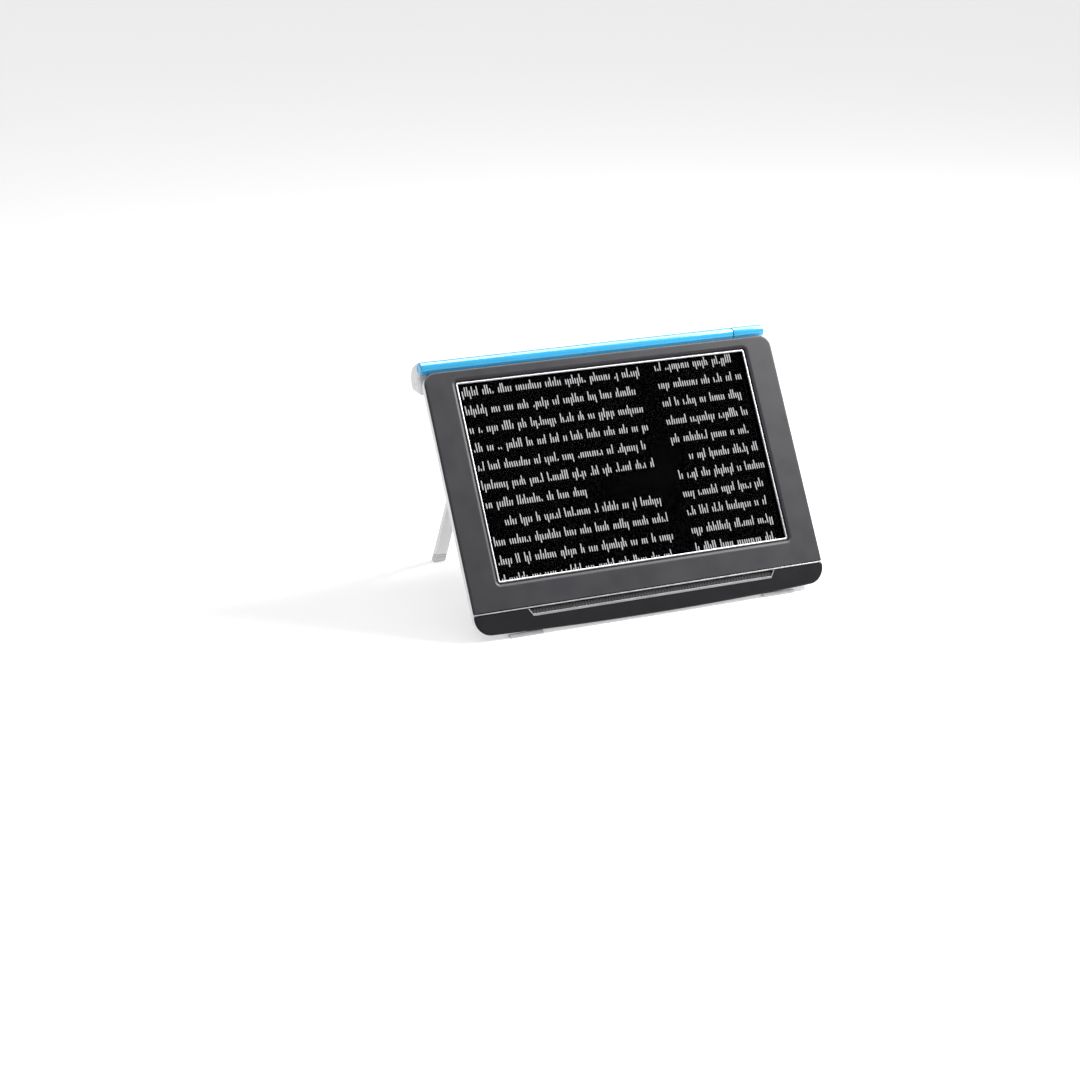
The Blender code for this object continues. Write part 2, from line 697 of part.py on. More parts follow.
def add_controls(tablet):
    wall_inside = button_wall()
    stem_end = wall_inside - BUTTON_STEM
    for name, z in BUTTONS:
        centre = new_empty(f"{name}_guide", tablet, (HALF_WIDTH, CONTROL_DEPTH, z))
        cap = block(
            name,
            (stem_end - HALF_WIDTH, -BUTTON_DEPTH / 2, -BUTTON_HEIGHT / 2),
            (0, BUTTON_DEPTH / 2, BUTTON_HEIGHT / 2),
            centre,
            "dark plastic",
        )
        flange_out = wall_inside - HALF_WIDTH
        flange = block(
            f"{name}_flange",
            (flange_out - BUTTON_FLANGE, -BUTTON_DEPTH / 2, -BUTTON_HEIGHT / 2 - BUTTON_FLANGE),
            (flange_out, BUTTON_DEPTH / 2, BUTTON_HEIGHT / 2 + BUTTON_FLANGE),
            centre,
        )
        join(cap, flange)
    board_out = button_board_out()
    block(
        "button_board",
        (board_out - BOARD, BEHIND_BEZEL + GAP, ZOOM_OUT_Z - BUTTON_HEIGHT),
        (board_out, TRAY_INNER_BACK - GAP, POWER_Z + BUTTON_HEIGHT),
        tablet,
        "circuit board",
    )
    face = HALF_WIDTH - tray_inset(CONTROL_DEPTH) - GAP
    half = (USB_DEPTH / 2, USB_HEIGHT / 2)
    usb = block(
        "usb_socket",
        (face - SOCKET_LENGTH, CONTROL_DEPTH - half[0], USB_Z - half[1]),
        (face, CONTROL_DEPTH + half[0], USB_Z + half[1]),
        tablet,
        "steel",
    )
    hollow = (half[0] - USB_WALL, half[1] - USB_WALL)
    cut(
        usb,
        block(
            "usb_bore_cutter",
            (face - SOCKET_LENGTH + MM, CONTROL_DEPTH - hollow[0], USB_Z - hollow[1]),
            (face + THROUGH, CONTROL_DEPTH + hollow[0], USB_Z + hollow[1]),
            tablet,
        ),
    )
    start = (face - SOCKET_LENGTH, CONTROL_DEPTH, AUDIO_Z)
    audio = rod("audio_socket", AUDIO_RADIUS, start, (face, *start[1:]), tablet, "dark plastic")
    bore = ((face - SOCKET_LENGTH + MM, *start[1:]), (face + THROUGH, *start[1:]))
    cut(audio, rod("audio_bore_cutter", AUDIO_BORE, *bore, tablet))


def add_screw(name, x, z, back, reach, head, tablet):
    """A screw whose flat head is flush with the depth called back."""
    shank_start = (x, back - reach, z)
    under_head = (x, back - SCREW_HEAD_HEIGHT + GAP, z)
    screw = rod(name, head, under_head, (x, back, z), tablet, "steel")
    shank_end = (x, back - SCREW_HEAD_HEIGHT / 2, z)
    shank = rod(f"{name}_shank", SCREW_SHANK, shank_start, shank_end, tablet)
    join(screw, shank)


def add_fasteners(tablet):
    reach = TRAY_DEPTH - FRAME_FRONT - BOARD - GAP
    for index, (x, z) in enumerate(screw_places(), 1):
        add_screw(f"rear_screw_{index}", x, z, TRAY_DEPTH, reach, SCREW_HEAD, tablet)


def base_foot_section():
    """A wedge between the tray's underside and the floor."""
    front = BEHIND_BEZEL + GAP
    back = front + FOOT_DEPTH
    across = 1 - ((FOOT_OFFSET - FOOT_LENGTH / 2) / HALF_WIDTH) ** 2
    under = LOW - CHIN_BOW * across - GAP
    section = []
    for depth in (front, back):
        section.append((depth, under + tray_inset(depth)))
    for depth in (back, front):
        floor = (math.sin(LEAN) * depth - FRAME_HEIGHT) / math.cos(LEAN)
        section.append((depth, floor))
    return section


def add_base_feet(tablet):
    for side, name in ((-1, "left"), (1, "right")):
        start = side * FOOT_OFFSET - FOOT_LENGTH / 2
        end = start + FOOT_LENGTH
        bar(f"base_foot_{name}", base_foot_section(), start, end, tablet, "rubber")


def floor_line(y, above):
    """Where the open leg's surface at thickness y is a height above the floor, in the stand's frame."""
    return -(STAND_HEIGHT - above + y * math.sin(LEG_TILT)) / math.cos(LEG_TILT)


def add_stand(tablet):
    """The stand is drawn folded flat, hanging down from its hinge, and its frame opens it."""
    place = (0, STAND_AXIS_DEPTH, STAND_Z)
    hinge = new_empty("stand_hinge", tablet, place, LEAN + LEG_TILT)
    outer = LEG_OFFSET + LEG_WIDTH / 2
    ends = ((-outer + GAP, 0, 0), (outer - GAP, 0, 0))
    rod("stand_crossbar", CROSSBAR_RADIUS, *ends, hinge, "steel")
    knuckle = CROSSBAR_RADIUS + RUNNING + KNUCKLE_WALL
    half = LEG_THICKNESS / 2
    for side, name in ((-1, "left"), (1, "right")):
        left = side * LEG_OFFSET - LEG_WIDTH / 2
        right = left + LEG_WIDTH
        leg_section = [
            (-half, 0),
            (half, 0),
            (half, floor_line(half, TIP_LENGTH + GAP)),
            (-half, floor_line(-half, TIP_LENGTH + GAP)),
        ]
        leg = bar(f"stand_leg_{name}", leg_section, left, right, hinge, "white")
        bevel(leg, LEG_ROUND)
        eye = rod(f"leg_eye_{name}", knuckle, (left, 0, 0), (right, 0, 0), hinge)
        bore_ends = ((left - THROUGH, 0, 0), (right + THROUGH, 0, 0))
        join(leg, eye)
        cut(leg, rod(f"leg_bore_{name}", hole_radius(CROSSBAR_RADIUS), *bore_ends, hinge))
        tip_section = [
            (-half, floor_line(-half, TIP_LENGTH)),
            (half, floor_line(half, TIP_LENGTH)),
            (half, floor_line(half, 0)),
            (-half, floor_line(-half, 0)),
        ]
        bar(f"leg_tip_{name}", tip_section, left, right, hinge, "rubber")


def add_stand_brackets(tablet):
    radius = BRACKET_RADIUS
    base = TRAY_DEPTH + GAP
    for side, name in ((-1, "left"), (1, "right")):
        left = side * BRACKET_OFFSET - BRACKET_WIDTH / 2
        right = left + BRACKET_WIDTH
        low = (left, base, STAND_Z - radius)
        high = (right, STAND_AXIS_DEPTH, STAND_Z + radius / 2)
        bracket = block(f"stand_bracket_{name}", low, high, tablet, "white")
        axis = (STAND_AXIS_DEPTH, STAND_Z)
        eye = rod(f"bracket_eye_{name}", radius, (left, *axis), (right, *axis), tablet)
        bore = ((left - THROUGH, *axis), (right + THROUGH, *axis))
        join(bracket, eye)
        cut(bracket, rod(f"bracket_bore_{name}", hole_radius(CROSSBAR_RADIUS), *bore, tablet))


def add_arm_bracket(tablet):
    """The fixed half of the arm's hinge: a foot screwed to the tray, and a boss that holds the pin."""
    base = TRAY_DEPTH + GAP
    plate_back = base + BRACKET_PLATE
    half_web = BOSS_SPACE - WEB_MARGIN
    plate_left = PIVOT_X - 2 * BOSS_RADIUS
    plate_right = PIVOT_X + half_web
    plate_top = ARM_LOW_Z - BRACKET_BELOW_ARM
    screw_x = plate_left + BRACKET_MARGIN
    low = (plate_left, base, BOSS_LOW - BRACKET_MARGIN)
    bracket = block(
        "arm_hinge_bracket", low, (plate_right, plate_back, plate_top), tablet, "white"
    )
    web = block(
        "boss_web",
        (PIVOT_X - half_web, base, BOSS_LOW),
        (PIVOT_X + half_web, PIVOT_DEPTH, BOSS_TOP),
        tablet,
    )
    axis = (PIVOT_X, PIVOT_DEPTH)
    boss = rod("boss", BOSS_RADIUS, (*axis, BOSS_LOW), (*axis, BOSS_TOP), tablet)
    pin_low = BOSS_LOW + PIN_REST
    pin_top = pin_low + PIN_LENGTH
    bore = rod(
        "boss_bore_cutter",
        hole_radius(PIN_RADIUS),
        (*axis, pin_low - GAP),
        (*axis, BOSS_TOP + THROUGH),
        tablet,
    )
    join(bracket, web, boss)
    cut(bracket, bore)
    screw_low = low[2] + BRACKET_SCREW_INSET
    for index, z in enumerate((screw_low, plate_top - BRACKET_SCREW_INSET), 1):
        sink = plate_back - SCREW_HEAD_HEIGHT
        sink_ends = ((screw_x, sink, z), (screw_x, plate_back + THROUGH, z))
        bore_ends = ((screw_x, base - THROUGH, z), (screw_x, plate_back + THROUGH, z))
        cut(
            bracket,
            rod(f"bracket_sink_{index}", SMALL_SCREW_HEAD + GAP, *sink_ends, tablet),
            rod(f"bracket_screw_bore_{index}", SCREW_SHANK + GAP, *bore_ends, tablet),
        )
        screw = (f"bracket_screw_{index}", screw_x, z, plate_back, BRACKET_PLATE)
        add_screw(*screw, SMALL_SCREW_HEAD, tablet)

    rod("arm_hinge_pin", PIN_RADIUS, (*axis, pin_low), (*axis, pin_top), tablet, "steel")
    washer_low = BOSS_TOP + GAP
    washer_top = washer_low + WASHER_THICKNESS
    washer = rod(
        "arm_hinge_washer",
        BOSS_RADIUS - WEB_MARGIN,
        (*axis, washer_low),
        (*axis, washer_top),
        tablet,
        "steel",
    )
    hole = hole_radius(PIN_RADIUS)
    cut(
        washer,
        rod(
            "washer_bore_cutter",
            hole,
            (*axis, washer_low - THROUGH),
            (*axis, washer_top + THROUGH),
            tablet,
        ),
    )
    return washer_top + GAP, pin_top


def arm_section():
    """Depth and height of the arm: a slanted underside, a rounded back, and a web towards the rail."""
    rear_low = ARM_LOW_Z + ARM_RISE
    span = ARM_TOP - rear_low
    return [
        (ARM_FRONT, ARM_LOW_Z),
        (ARM_BACK - 0.03 * ARM_DEPTH, rear_low),
        (ARM_BACK, rear_low + 0.2 * span),
        (ARM_BACK - 0.12 * ARM_DEPTH, rear_low + 0.55 * span),
        (ARM_BACK - 0.4 * ARM_DEPTH, rear_low + 0.88 * span),
        (ARM_BACK - 0.75 * ARM_DEPTH, ARM_TOP),
        (ARM_WEB_FRONT, ARM_TOP),
        (ARM_WEB_FRONT, TOP + GAP),
        (ARM_FRONT, TOP + GAP),
    ]


def add_arm(tablet, arm_floor, pin_top):
    """The arm turns about the pin; its pieces are drawn in the tablet's frame, closed."""
    pivot = new_empty("arm_pivot", tablet, (PIVOT_X, PIVOT_DEPTH, 0))
    frame = new_empty("arm_frame", pivot, (-PIVOT_X, -PIVOT_DEPTH, 0))
    axis = (PIVOT_X, PIVOT_DEPTH)
    left = -HALF_WIDTH + ARM_END_MARGIN
    housing = bar("arm_housing", arm_section(), left, PIVOT_X, frame, "white")
    bevel(housing, ARM_ROUND)
    end_top = ARM_TOP - ARM_END_DROP
    round_end = rod("arm_round_end", ARM_DEPTH / 2, (*axis, arm_floor), (*axis, end_top), frame)
    join(housing, round_end)
    notch = block(
        "arm_notch_cutter",
        (PIVOT_X - BOSS_SPACE, ARM_WEB_FRONT - THROUGH, ARM_LOW_Z - THROUGH),
        (PIVOT_X + 2 * BOSS_SPACE, ARM_BACK + THROUGH, arm_floor),
        frame,
    )
    bore = rod(
        "arm_bore_cutter",
        hole_radius(PIN_RADIUS),
        (*axis, arm_floor - THROUGH),
        (*axis, pin_top + GAP),
        frame,
    )
    cut(housing, notch, bore)

    middle_z = ARM_LOW_Z + ARM_RISE / 2
    window = new_empty("arm_window_frame", frame, (0, PIVOT_DEPTH, middle_z), ARM_UNDERSIDE)
    side = WINDOW_HALF_LENGTH
    half = WINDOW_WIDTH / 2
    pocket = block(
        "arm_pocket_cutter",
        (-side - GAP, -half - GAP, -THROUGH),
        (side + GAP, half + GAP, WINDOW_DEPTH),
        window,
    )
    cut(housing, pocket)
    cover = block(
        "arm_cover",
        (-side, -half, COVER_RECESS),
        (side, half, COVER_RECESS + WINDOW_THICKNESS),
        window,
        "dark plastic",
    )
    cover_top = COVER_RECESS + WINDOW_THICKNESS
    eye = rod("arm_eye_cutter", CAMERA_RADIUS + GAP, (0, 0, -THROUGH), (0, 0, THROUGH * 2), window)
    cut(cover, eye)
    eye_ends = ((0, 0, COVER_RECESS), (0, 0, cover_top))
    rod("arm_camera_window", CAMERA_RADIUS, *eye_ends, window, "glass")
    board_low = WINDOW_DEPTH - GAP - BOARD
    rod(
        "arm_camera",
        CAMERA_RADIUS,
        (0, 0, cover_top + GAP),
        (0, 0, board_low - GAP),
        window,
        "dark plastic",
    )
    block(
        "arm_board",
        (-side / 2, -half + GAP, board_low),
        (side / 2, half - GAP, board_low + BOARD),
        window,
        "circuit board",
    )
    for sign, name in ((-1, "left"), (1, "right")):
        x = sign * LED_SPACING
        led_low = (x - LED_LENGTH / 2, -LED_WIDTH / 2, COVER_RECESS)
        led_high = (x + LED_LENGTH / 2, LED_WIDTH / 2, cover_top)
        hole_low = (led_low[0] - GAP, led_low[1] - GAP, -THROUGH)
        hole_high = (led_high[0] + GAP, led_high[1] + GAP, THROUGH * 2)
        cut(cover, block(f"arm_led_cutter_{name}", hole_low, hole_high, window))
        block(f"arm_led_window_{name}", led_low, led_high, window, "frosted")

    place = (RAIL_DEPTH, RAIL_Z)
    ends = ((-HALF_WIDTH, *place), (RAIL_SPLIT - GAP, *place))
    rail = rod("blue_rail", RAIL_RADIUS, *ends, frame, "blue")
    bevel(rail, RAIL_ROUNDING)


def add_hinge_cap(tablet):
    place = (RAIL_DEPTH, RAIL_Z)
    ends = ((RAIL_SPLIT + GAP, *place), (HALF_WIDTH - CAP_END_MARGIN, *place))
    cap = rod("blue_hinge_cap", RAIL_RADIUS, *ends, tablet, "blue")
    bevel(cap, RAIL_ROUNDING / 3)


clear_scene()
PARTS = new_collection("low_vision_magnifier")
CUTTERS = new_collection("cutters")
MATERIALS = {
    "charcoal": new_material("charcoal", (0.085, 0.083, 0.092), 0.45),
    "black": new_material("black", (0.022, 0.02, 0.023), 0.4),
    "silver": new_material("silver", (0.75, 0.75, 0.77), 0.25, metallic=1.0),
    "white": new_material("white", (0.82, 0.82, 0.82), 0.4),
    "blue": new_material("blue", (0.01, 0.32, 0.6), 0.2),
    "glass": new_material("glass", (0.05, 0.05, 0.05), 0.05, alpha=0.3),
    "frosted": new_material("frosted", (0.85, 0.86, 0.88), 0.5),
    "dark plastic": new_material("dark plastic", (0.03, 0.03, 0.035), 0.5),
    "rubber": new_material("rubber", (0.05, 0.05, 0.05), 0.85),
    "steel": new_material("steel", (0.6, 0.6, 0.62), 0.3, metallic=1.0),
    "aluminium": new_material("aluminium", (0.7, 0.71, 0.73), 0.4, metallic=1.0),
    "circuit board": new_material("circuit board", (0.03, 0.2, 0.08), 0.5),
}
BUTTONS = (
    ("power_button", POWER_Z),
    ("zoom_in_button", ZOOM_IN_Z),
    ("zoom_out_button", ZOOM_OUT_Z),
)

TABLET = new_empty("tablet_frame", None, (0, FRAME_Y, FRAME_HEIGHT), -LEAN)
add_bezel(TABLET)
add_chin(TABLET)
add_screen(TABLET)
add_inside(TABLET)
add_tray(TABLET)
add_rear_camera(TABLET)
add_controls(TABLET)
add_fasteners(TABLET)
add_base_feet(TABLET)
add_stand(TABLET)
add_stand_brackets(TABLET)
ARM_FLOOR, PIN_TOP = add_arm_bracket(TABLET)
add_arm(TABLET, ARM_FLOOR, PIN_TOP)
add_hinge_cap(TABLET)
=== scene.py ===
"""Looks for the low vision magnifier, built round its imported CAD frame.

Pieces are drawn in the tablet's own frame, as (across, depth, up): across the face from its middle,
into the tablet from its front face, and up the face from the middle of the screen.
"""

import json
import math
import random

import bmesh
import bpy
from mathutils import Matrix, Vector


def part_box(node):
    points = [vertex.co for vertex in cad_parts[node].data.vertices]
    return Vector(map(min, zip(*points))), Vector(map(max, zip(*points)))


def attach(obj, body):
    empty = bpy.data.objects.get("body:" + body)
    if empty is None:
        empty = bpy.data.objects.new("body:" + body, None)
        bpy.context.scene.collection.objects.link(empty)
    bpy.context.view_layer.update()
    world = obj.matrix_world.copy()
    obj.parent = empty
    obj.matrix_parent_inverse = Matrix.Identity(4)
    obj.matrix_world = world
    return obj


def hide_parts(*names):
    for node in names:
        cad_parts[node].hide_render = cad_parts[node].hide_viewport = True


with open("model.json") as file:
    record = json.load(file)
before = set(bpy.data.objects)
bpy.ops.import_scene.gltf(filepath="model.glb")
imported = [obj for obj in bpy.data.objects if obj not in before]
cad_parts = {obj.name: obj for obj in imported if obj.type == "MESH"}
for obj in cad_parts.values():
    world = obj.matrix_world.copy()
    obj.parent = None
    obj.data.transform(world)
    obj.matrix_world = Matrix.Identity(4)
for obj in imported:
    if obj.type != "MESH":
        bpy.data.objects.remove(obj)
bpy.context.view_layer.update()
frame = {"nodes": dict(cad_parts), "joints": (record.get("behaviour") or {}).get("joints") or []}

MM = 0.001
NODES = frame["nodes"]
JOINTS = {joint["name"]: joint for joint in frame["joints"]}

# Sizes that the nodes' boxes don't give
GAP = 0.3 * MM
WALL = 1.8 * MM
TOP_CORNER = 8.5 * MM
LOW_CORNER = 11 * MM
HUMP_CORNER = 12 * MM
HUMP_RISE = 19 * MM
HUMP_FOOT = 1.1 * MM
HUMP_CROWN = 2 * MM
HUMP_DRAFT = 1.2 * MM
CHIN_BOW = 2.8 * MM
CHIN_SETBACK = 2.6 * MM
FACE_ROUND = 1.3 * MM
FACE_STEPS = 7
SUPPORT = 0.5 * MM
RIM_DEPTH = 1.6 * MM
RIM_CHAMFER = 0.1 * MM
TRAY_SETBACK = 0.2 * MM
TRAY_ROUND = 3.4 * MM
LIP_WIDTH = 2.3 * MM
GROOVE_WIDTH = 1.2 * MM
GROOVE_DEPTH = 1.6 * MM
SLOT_SLANT = 3.4 * MM
SLOT_HEIGHT = 5.4 * MM
SLOT_EDGE = 1.5 * MM
SLOT_DEPTH = 2.6 * MM
KNUCKLE_WALL = 2 * MM
SCREW_HEAD = 0.6 * MM
BORE_ROOM = 0.05 * MM
THROUGH = 2 * MM
CORNER_STEPS = 12
LOW_POINTS = 24
ROUND_STEPS = 64
ROUND_END = 0.98
RIM_STEPS = 5
SHARP = math.radians(32)


# ---- frames
def tablet_axes():
    """Columns: across, depth and up. The arm turns about the last one."""
    up = -Vector(JOINTS["camera_arm_swing"]["axis"]).normalized()
    across = Vector((1, 0, 0))
    return Matrix((across, up.cross(across), up)).transposed()


def box_in(node, place):
    """A node's lowest and highest corners, measured in a frame."""
    back = place.inverted()
    points = [back @ vertex.co for vertex in NODES[node].data.vertices]
    low = Vector([min(point[i] for point in points) for i in range(3)])
    high = Vector([max(point[i] for point in points) for i in range(3)])
    return low, high


AXES = tablet_axes().to_4x4()
LEAN = math.atan2(AXES[1][2], AXES[2][2])
TRIM_LOW, TRIM_HIGH = box_in("screen_trim", AXES)
ORIGIN = (TRIM_LOW + TRIM_HIGH) / 2
ORIGIN.y = box_in("front_bezel", AXES)[0].y
TABLET = AXES @ Matrix.Translation(ORIGIN)


def local(node):
    return box_in(node, TABLET)


STAND_JOINT = Vector(JOINTS["stand_fold"]["pos_m"])
LEG_TILT = -math.radians(min(JOINTS["stand_fold"]["range_deg"])) - LEAN
STAND = Matrix.Translation(STAND_JOINT) @ Matrix.Rotation(LEG_TILT, 4, "X")
STAND_AXIS = TABLET.inverted() @ STAND_JOINT
PIVOT = TABLET.inverted() @ Vector(JOINTS["camera_arm_swing"]["pos_m"])

BEZEL = local("front_bezel")
CHIN = local("chin_cover")
LINE = local("chin_line")
SHELL = local("rear_shell")
SCREEN = local("screen_trim")
HALF_WIDTH = BEZEL[1].x
TOP = BEZEL[1].z
LOW = CHIN[0].z + CHIN_BOW
CHIN_TOP = CHIN[1].z
BEZEL_DEPTH = BEZEL[1].y
TRAY_FRONT = SHELL[0].y
TRAY_DEPTH = local("stand_bracket_left")[0].y - GAP
HUMP_DEPTH = SHELL[1].y


# ---- outlines
def arc(a, b, radius, start, turn, steps):
    """Points round a centre, from an angle through a turn, both in degrees."""
    for step in range(steps + 1):
        angle = math.radians(start + turn * step / steps)
        yield a + radius * math.cos(angle), b + radius * math.sin(angle)


def outline(left, right, low, top, low_corner, top_corner=None, bow=0.0):
    """Points round a rectangle with round corners, whose lower edge hangs down by bow in the middle."""
    if top_corner is None:
        top_corner = low_corner
    corners = (
        (right - top_corner, top - top_corner, top_corner, 0),
        (left + top_corner, top - top_corner, top_corner, 90),
        (left + low_corner, low + low_corner, low_corner, 180),
        (right - low_corner, low + low_corner, low_corner, 270),
    )
    points = []
    for x, z, radius, start in corners:
        points += arc(x, z, radius, start, 90, CORNER_STEPS)
        if start == 180:
            run = right - left - 2 * low_corner
            for part in range(1, LOW_POINTS):
                points.append((left + low_corner + run * part / LOW_POINTS, low))
    middle = (left + right) / 2
    half = (right - left) / 2
    for index, (x, z) in enumerate(points):
        if z < (low + top) / 2:
            points[index] = (x, z - bow * (1 - ((x - middle) / half) ** 2))
    return points


def filleted(corners, steps=6):
    """A polygon's points, with each corner (a, b, radius) rounded by an arc."""
    points = []
    for index, (a, b, radius) in enumerate(corners):
        here = Vector((a, b))
        if radius == 0:
            points.append((a, b))
            continue
        back = (Vector(corners[index - 1][:2]) - here).normalized()
        onward = (Vector(corners[(index + 1) % len(corners)][:2]) - here).normalized()
        half = back.angle(onward) / 2
        centre = here + (back + onward).normalized() * radius / math.sin(half)
        start = here + back * radius / math.tan(half) - centre
        end = here + onward * radius / math.tan(half) - centre
        first = math.atan2(start.y, start.x)
        turn = (math.atan2(end.y, end.x) - first + math.pi) % (2 * math.pi) - math.pi
        for step in range(steps + 1):
            angle = first + turn * step / steps
            points.append((centre.x + radius * math.cos(angle), centre.y + radius * math.sin(angle)))
    return points


def at_depth(points, depth):
    return [(x, depth, z) for x, z in points]


def tablet_outline(inset):
    side = HALF_WIDTH - inset
    low_corner = max(LOW_CORNER - inset, MM)
    top_corner = max(TOP_CORNER - inset, MM)
    return outline(-side, side, LOW + inset, TOP - inset, low_corner, top_corner, CHIN_BOW)


def tray_inset(depth):
    """How far the tray's side has drawn in at a depth: little at first, then round to the back."""
    part = (depth - TRAY_FRONT) / (TRAY_DEPTH - TRAY_FRONT)
    return TRAY_SETBACK + TRAY_ROUND * (1 - math.sqrt(max(0, 1 - part**2)))


def quarter(radius, steps):
    """Round an edge from its side to its face: how far in from the side, and how far under the face."""
    for across, up in arc(0, 0, 1, 0, 90, steps):
        yield radius * (1 - across), radius * (1 - up)


def mirrored(right):
    """A closed outline whose left half mirrors the corners (x, z, radius) of its right half."""
    return filleted(right + [(-x, z, corner) for x, z, corner in reversed(right)])


def round_box(a, b, half_a, half_b, corner):
    """A rectangle round a middle, with round corners."""
    return filleted([
        (a - half_a, b - half_b, corner),
        (a + half_a, b - half_b, corner),
        (a + half_a, b + half_b, corner),
        (a - half_a, b + half_b, corner),
    ])


def racetrack(middle, half, inset=0.0):
    """A slot with round ends, as points of depth and height."""
    half_depth = half.y - inset
    return round_box(middle.y, middle.z, half_depth, half.z - inset, half_depth * ROUND_END)


def centre_and_half(node):
    low, high = local(node)
    return (low + high) / 2, (high - low) / 2


# ---- shapes
def loft(rings, closed=False):
    """A solid through rings with equal numbers of points: they close on themselves or get end faces."""
    shape = bmesh.new()
    loops = [[shape.verts.new(point) for point in ring] for ring in rings]
    pairs = list(zip(loops, loops[1:]))
    if closed:
        pairs.append((loops[-1], loops[0]))
    else:
        shape.faces.new(loops[0])
        shape.faces.new(loops[-1])
    for first, second in pairs:
        for index in range(len(first)):
            after = (index + 1) % len(first)
            shape.faces.new((first[index], first[after], second[after], second[index]))
    bmesh.ops.recalc_face_normals(shape, faces=shape.faces)
    return shape


def bar(section, left, right):
    """A section in depth and height, drawn out from left to right."""
    return loft([[(x, y, z) for y, z in section] for x in (left, right)])


def plate(points, front, back):
    return loft([at_depth(points, front), at_depth(points, back)])


def block(low, high):
    middle = (Vector(low) + Vector(high)) / 2
    size = Vector(high) - Vector(low)
    shape = bmesh.new()
    place = Matrix.Translation(middle) @ Matrix.Diagonal((*size, 1))
    bmesh.ops.create_cube(shape, size=1, matrix=place)
    return shape


def along(start, direction):
    """A frame at a point, whose own Z points in a direction."""
    turn = Vector((0, 0, 1)).rotation_difference(Vector(direction)).to_matrix().to_4x4()
    return Matrix.Translation(start) @ turn


def turned(profile, place, closed=False, steps=ROUND_STEPS):
    """A round solid whose profile is (radius, distance along the frame's Z)."""
    angles = [2 * math.pi * step / steps for step in range(steps)]
    return loft([
        [place @ Vector((radius * math.cos(a), radius * math.sin(a), height)) for a in angles]
        for radius, height in profile
    ], closed)


def rod(radius, start, end, rounding=0.0, steps=ROUND_STEPS):
    """A round bar between two points, whose rims can be rounded."""
    reach = Vector(end) - Vector(start)
    profile = [(radius, 0)]
    if rounding:
        profile = [(radius - under, inset) for inset, under in quarter(rounding, RIM_STEPS)]
    profile += [(width, reach.length - height) for width, height in reversed(profile)]
    return turned(profile, along(start, reach), steps=steps)


def disc(radius, length, rim, place):
    """A round pane with chamfered rims."""
    return turned(((radius - rim, 0), (radius, rim), (radius, length - rim), (radius - rim, length)), place)


def as_mesh(name, shape):
    mesh = bpy.data.meshes.new(name)
    shape.to_mesh(mesh)
    shape.free()
    return mesh


def added(name, data):
    """A new object in the scene."""
    obj = bpy.data.objects.new(name, data)
    bpy.context.scene.collection.objects.link(obj)
    return obj


def merged(*shapes):
    """Separate solids kept in one mesh."""
    whole = bmesh.new()
    for shape in shapes:
        mesh = as_mesh("loose", shape)
        whole.from_mesh(mesh)
        bpy.data.meshes.remove(mesh)
    return whole


def combined(shape, others, operation):
    """The outcome of Booleans between a solid and others."""
    helpers = [added("helper", as_mesh("helper", item)) for item in (shape, *others)]
    for tool in helpers[1:]:
        modifier = helpers[0].modifiers.new("boolean", "BOOLEAN")
        modifier.operation = operation
        modifier.solver = "EXACT"
        modifier.object = tool
    result = bmesh.new()
    result.from_object(helpers[0], bpy.context.evaluated_depsgraph_get())
    for helper in helpers:
        mesh = helper.data
        bpy.data.objects.remove(helper)
        bpy.data.meshes.remove(mesh)
    return result


def carve(shape, *cutters):
    return combined(shape, cutters, "DIFFERENCE")


def fuse(shape, *others):
    return combined(shape, others, "UNION")


def piece(name, shape, body, slot, stands_for=(), place=TABLET, rounding=0.0, segments=2):
    """A shape drawn in a frame becomes a piece that rides on a body and stands for CAD nodes."""
    shape.transform(place)
    bmesh.ops.recalc_face_normals(shape, faces=shape.faces)
    mesh = as_mesh(name, shape)
    mesh.shade_smooth()
    mesh.set_sharp_from_angle(angle=SHARP)
    mesh.materials.append(FINISHES[slot])
    obj = added(name, mesh)
    if rounding:
        edges = obj.modifiers.new("rounded edges", "BEVEL")
        edges.width = rounding
        edges.segments = segments
        edges.limit_method = "ANGLE"
        edges.angle_limit = SHARP
        edges.harden_normals = True
    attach(obj, body)
    if stands_for:
        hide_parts(*stands_for)
    return obj


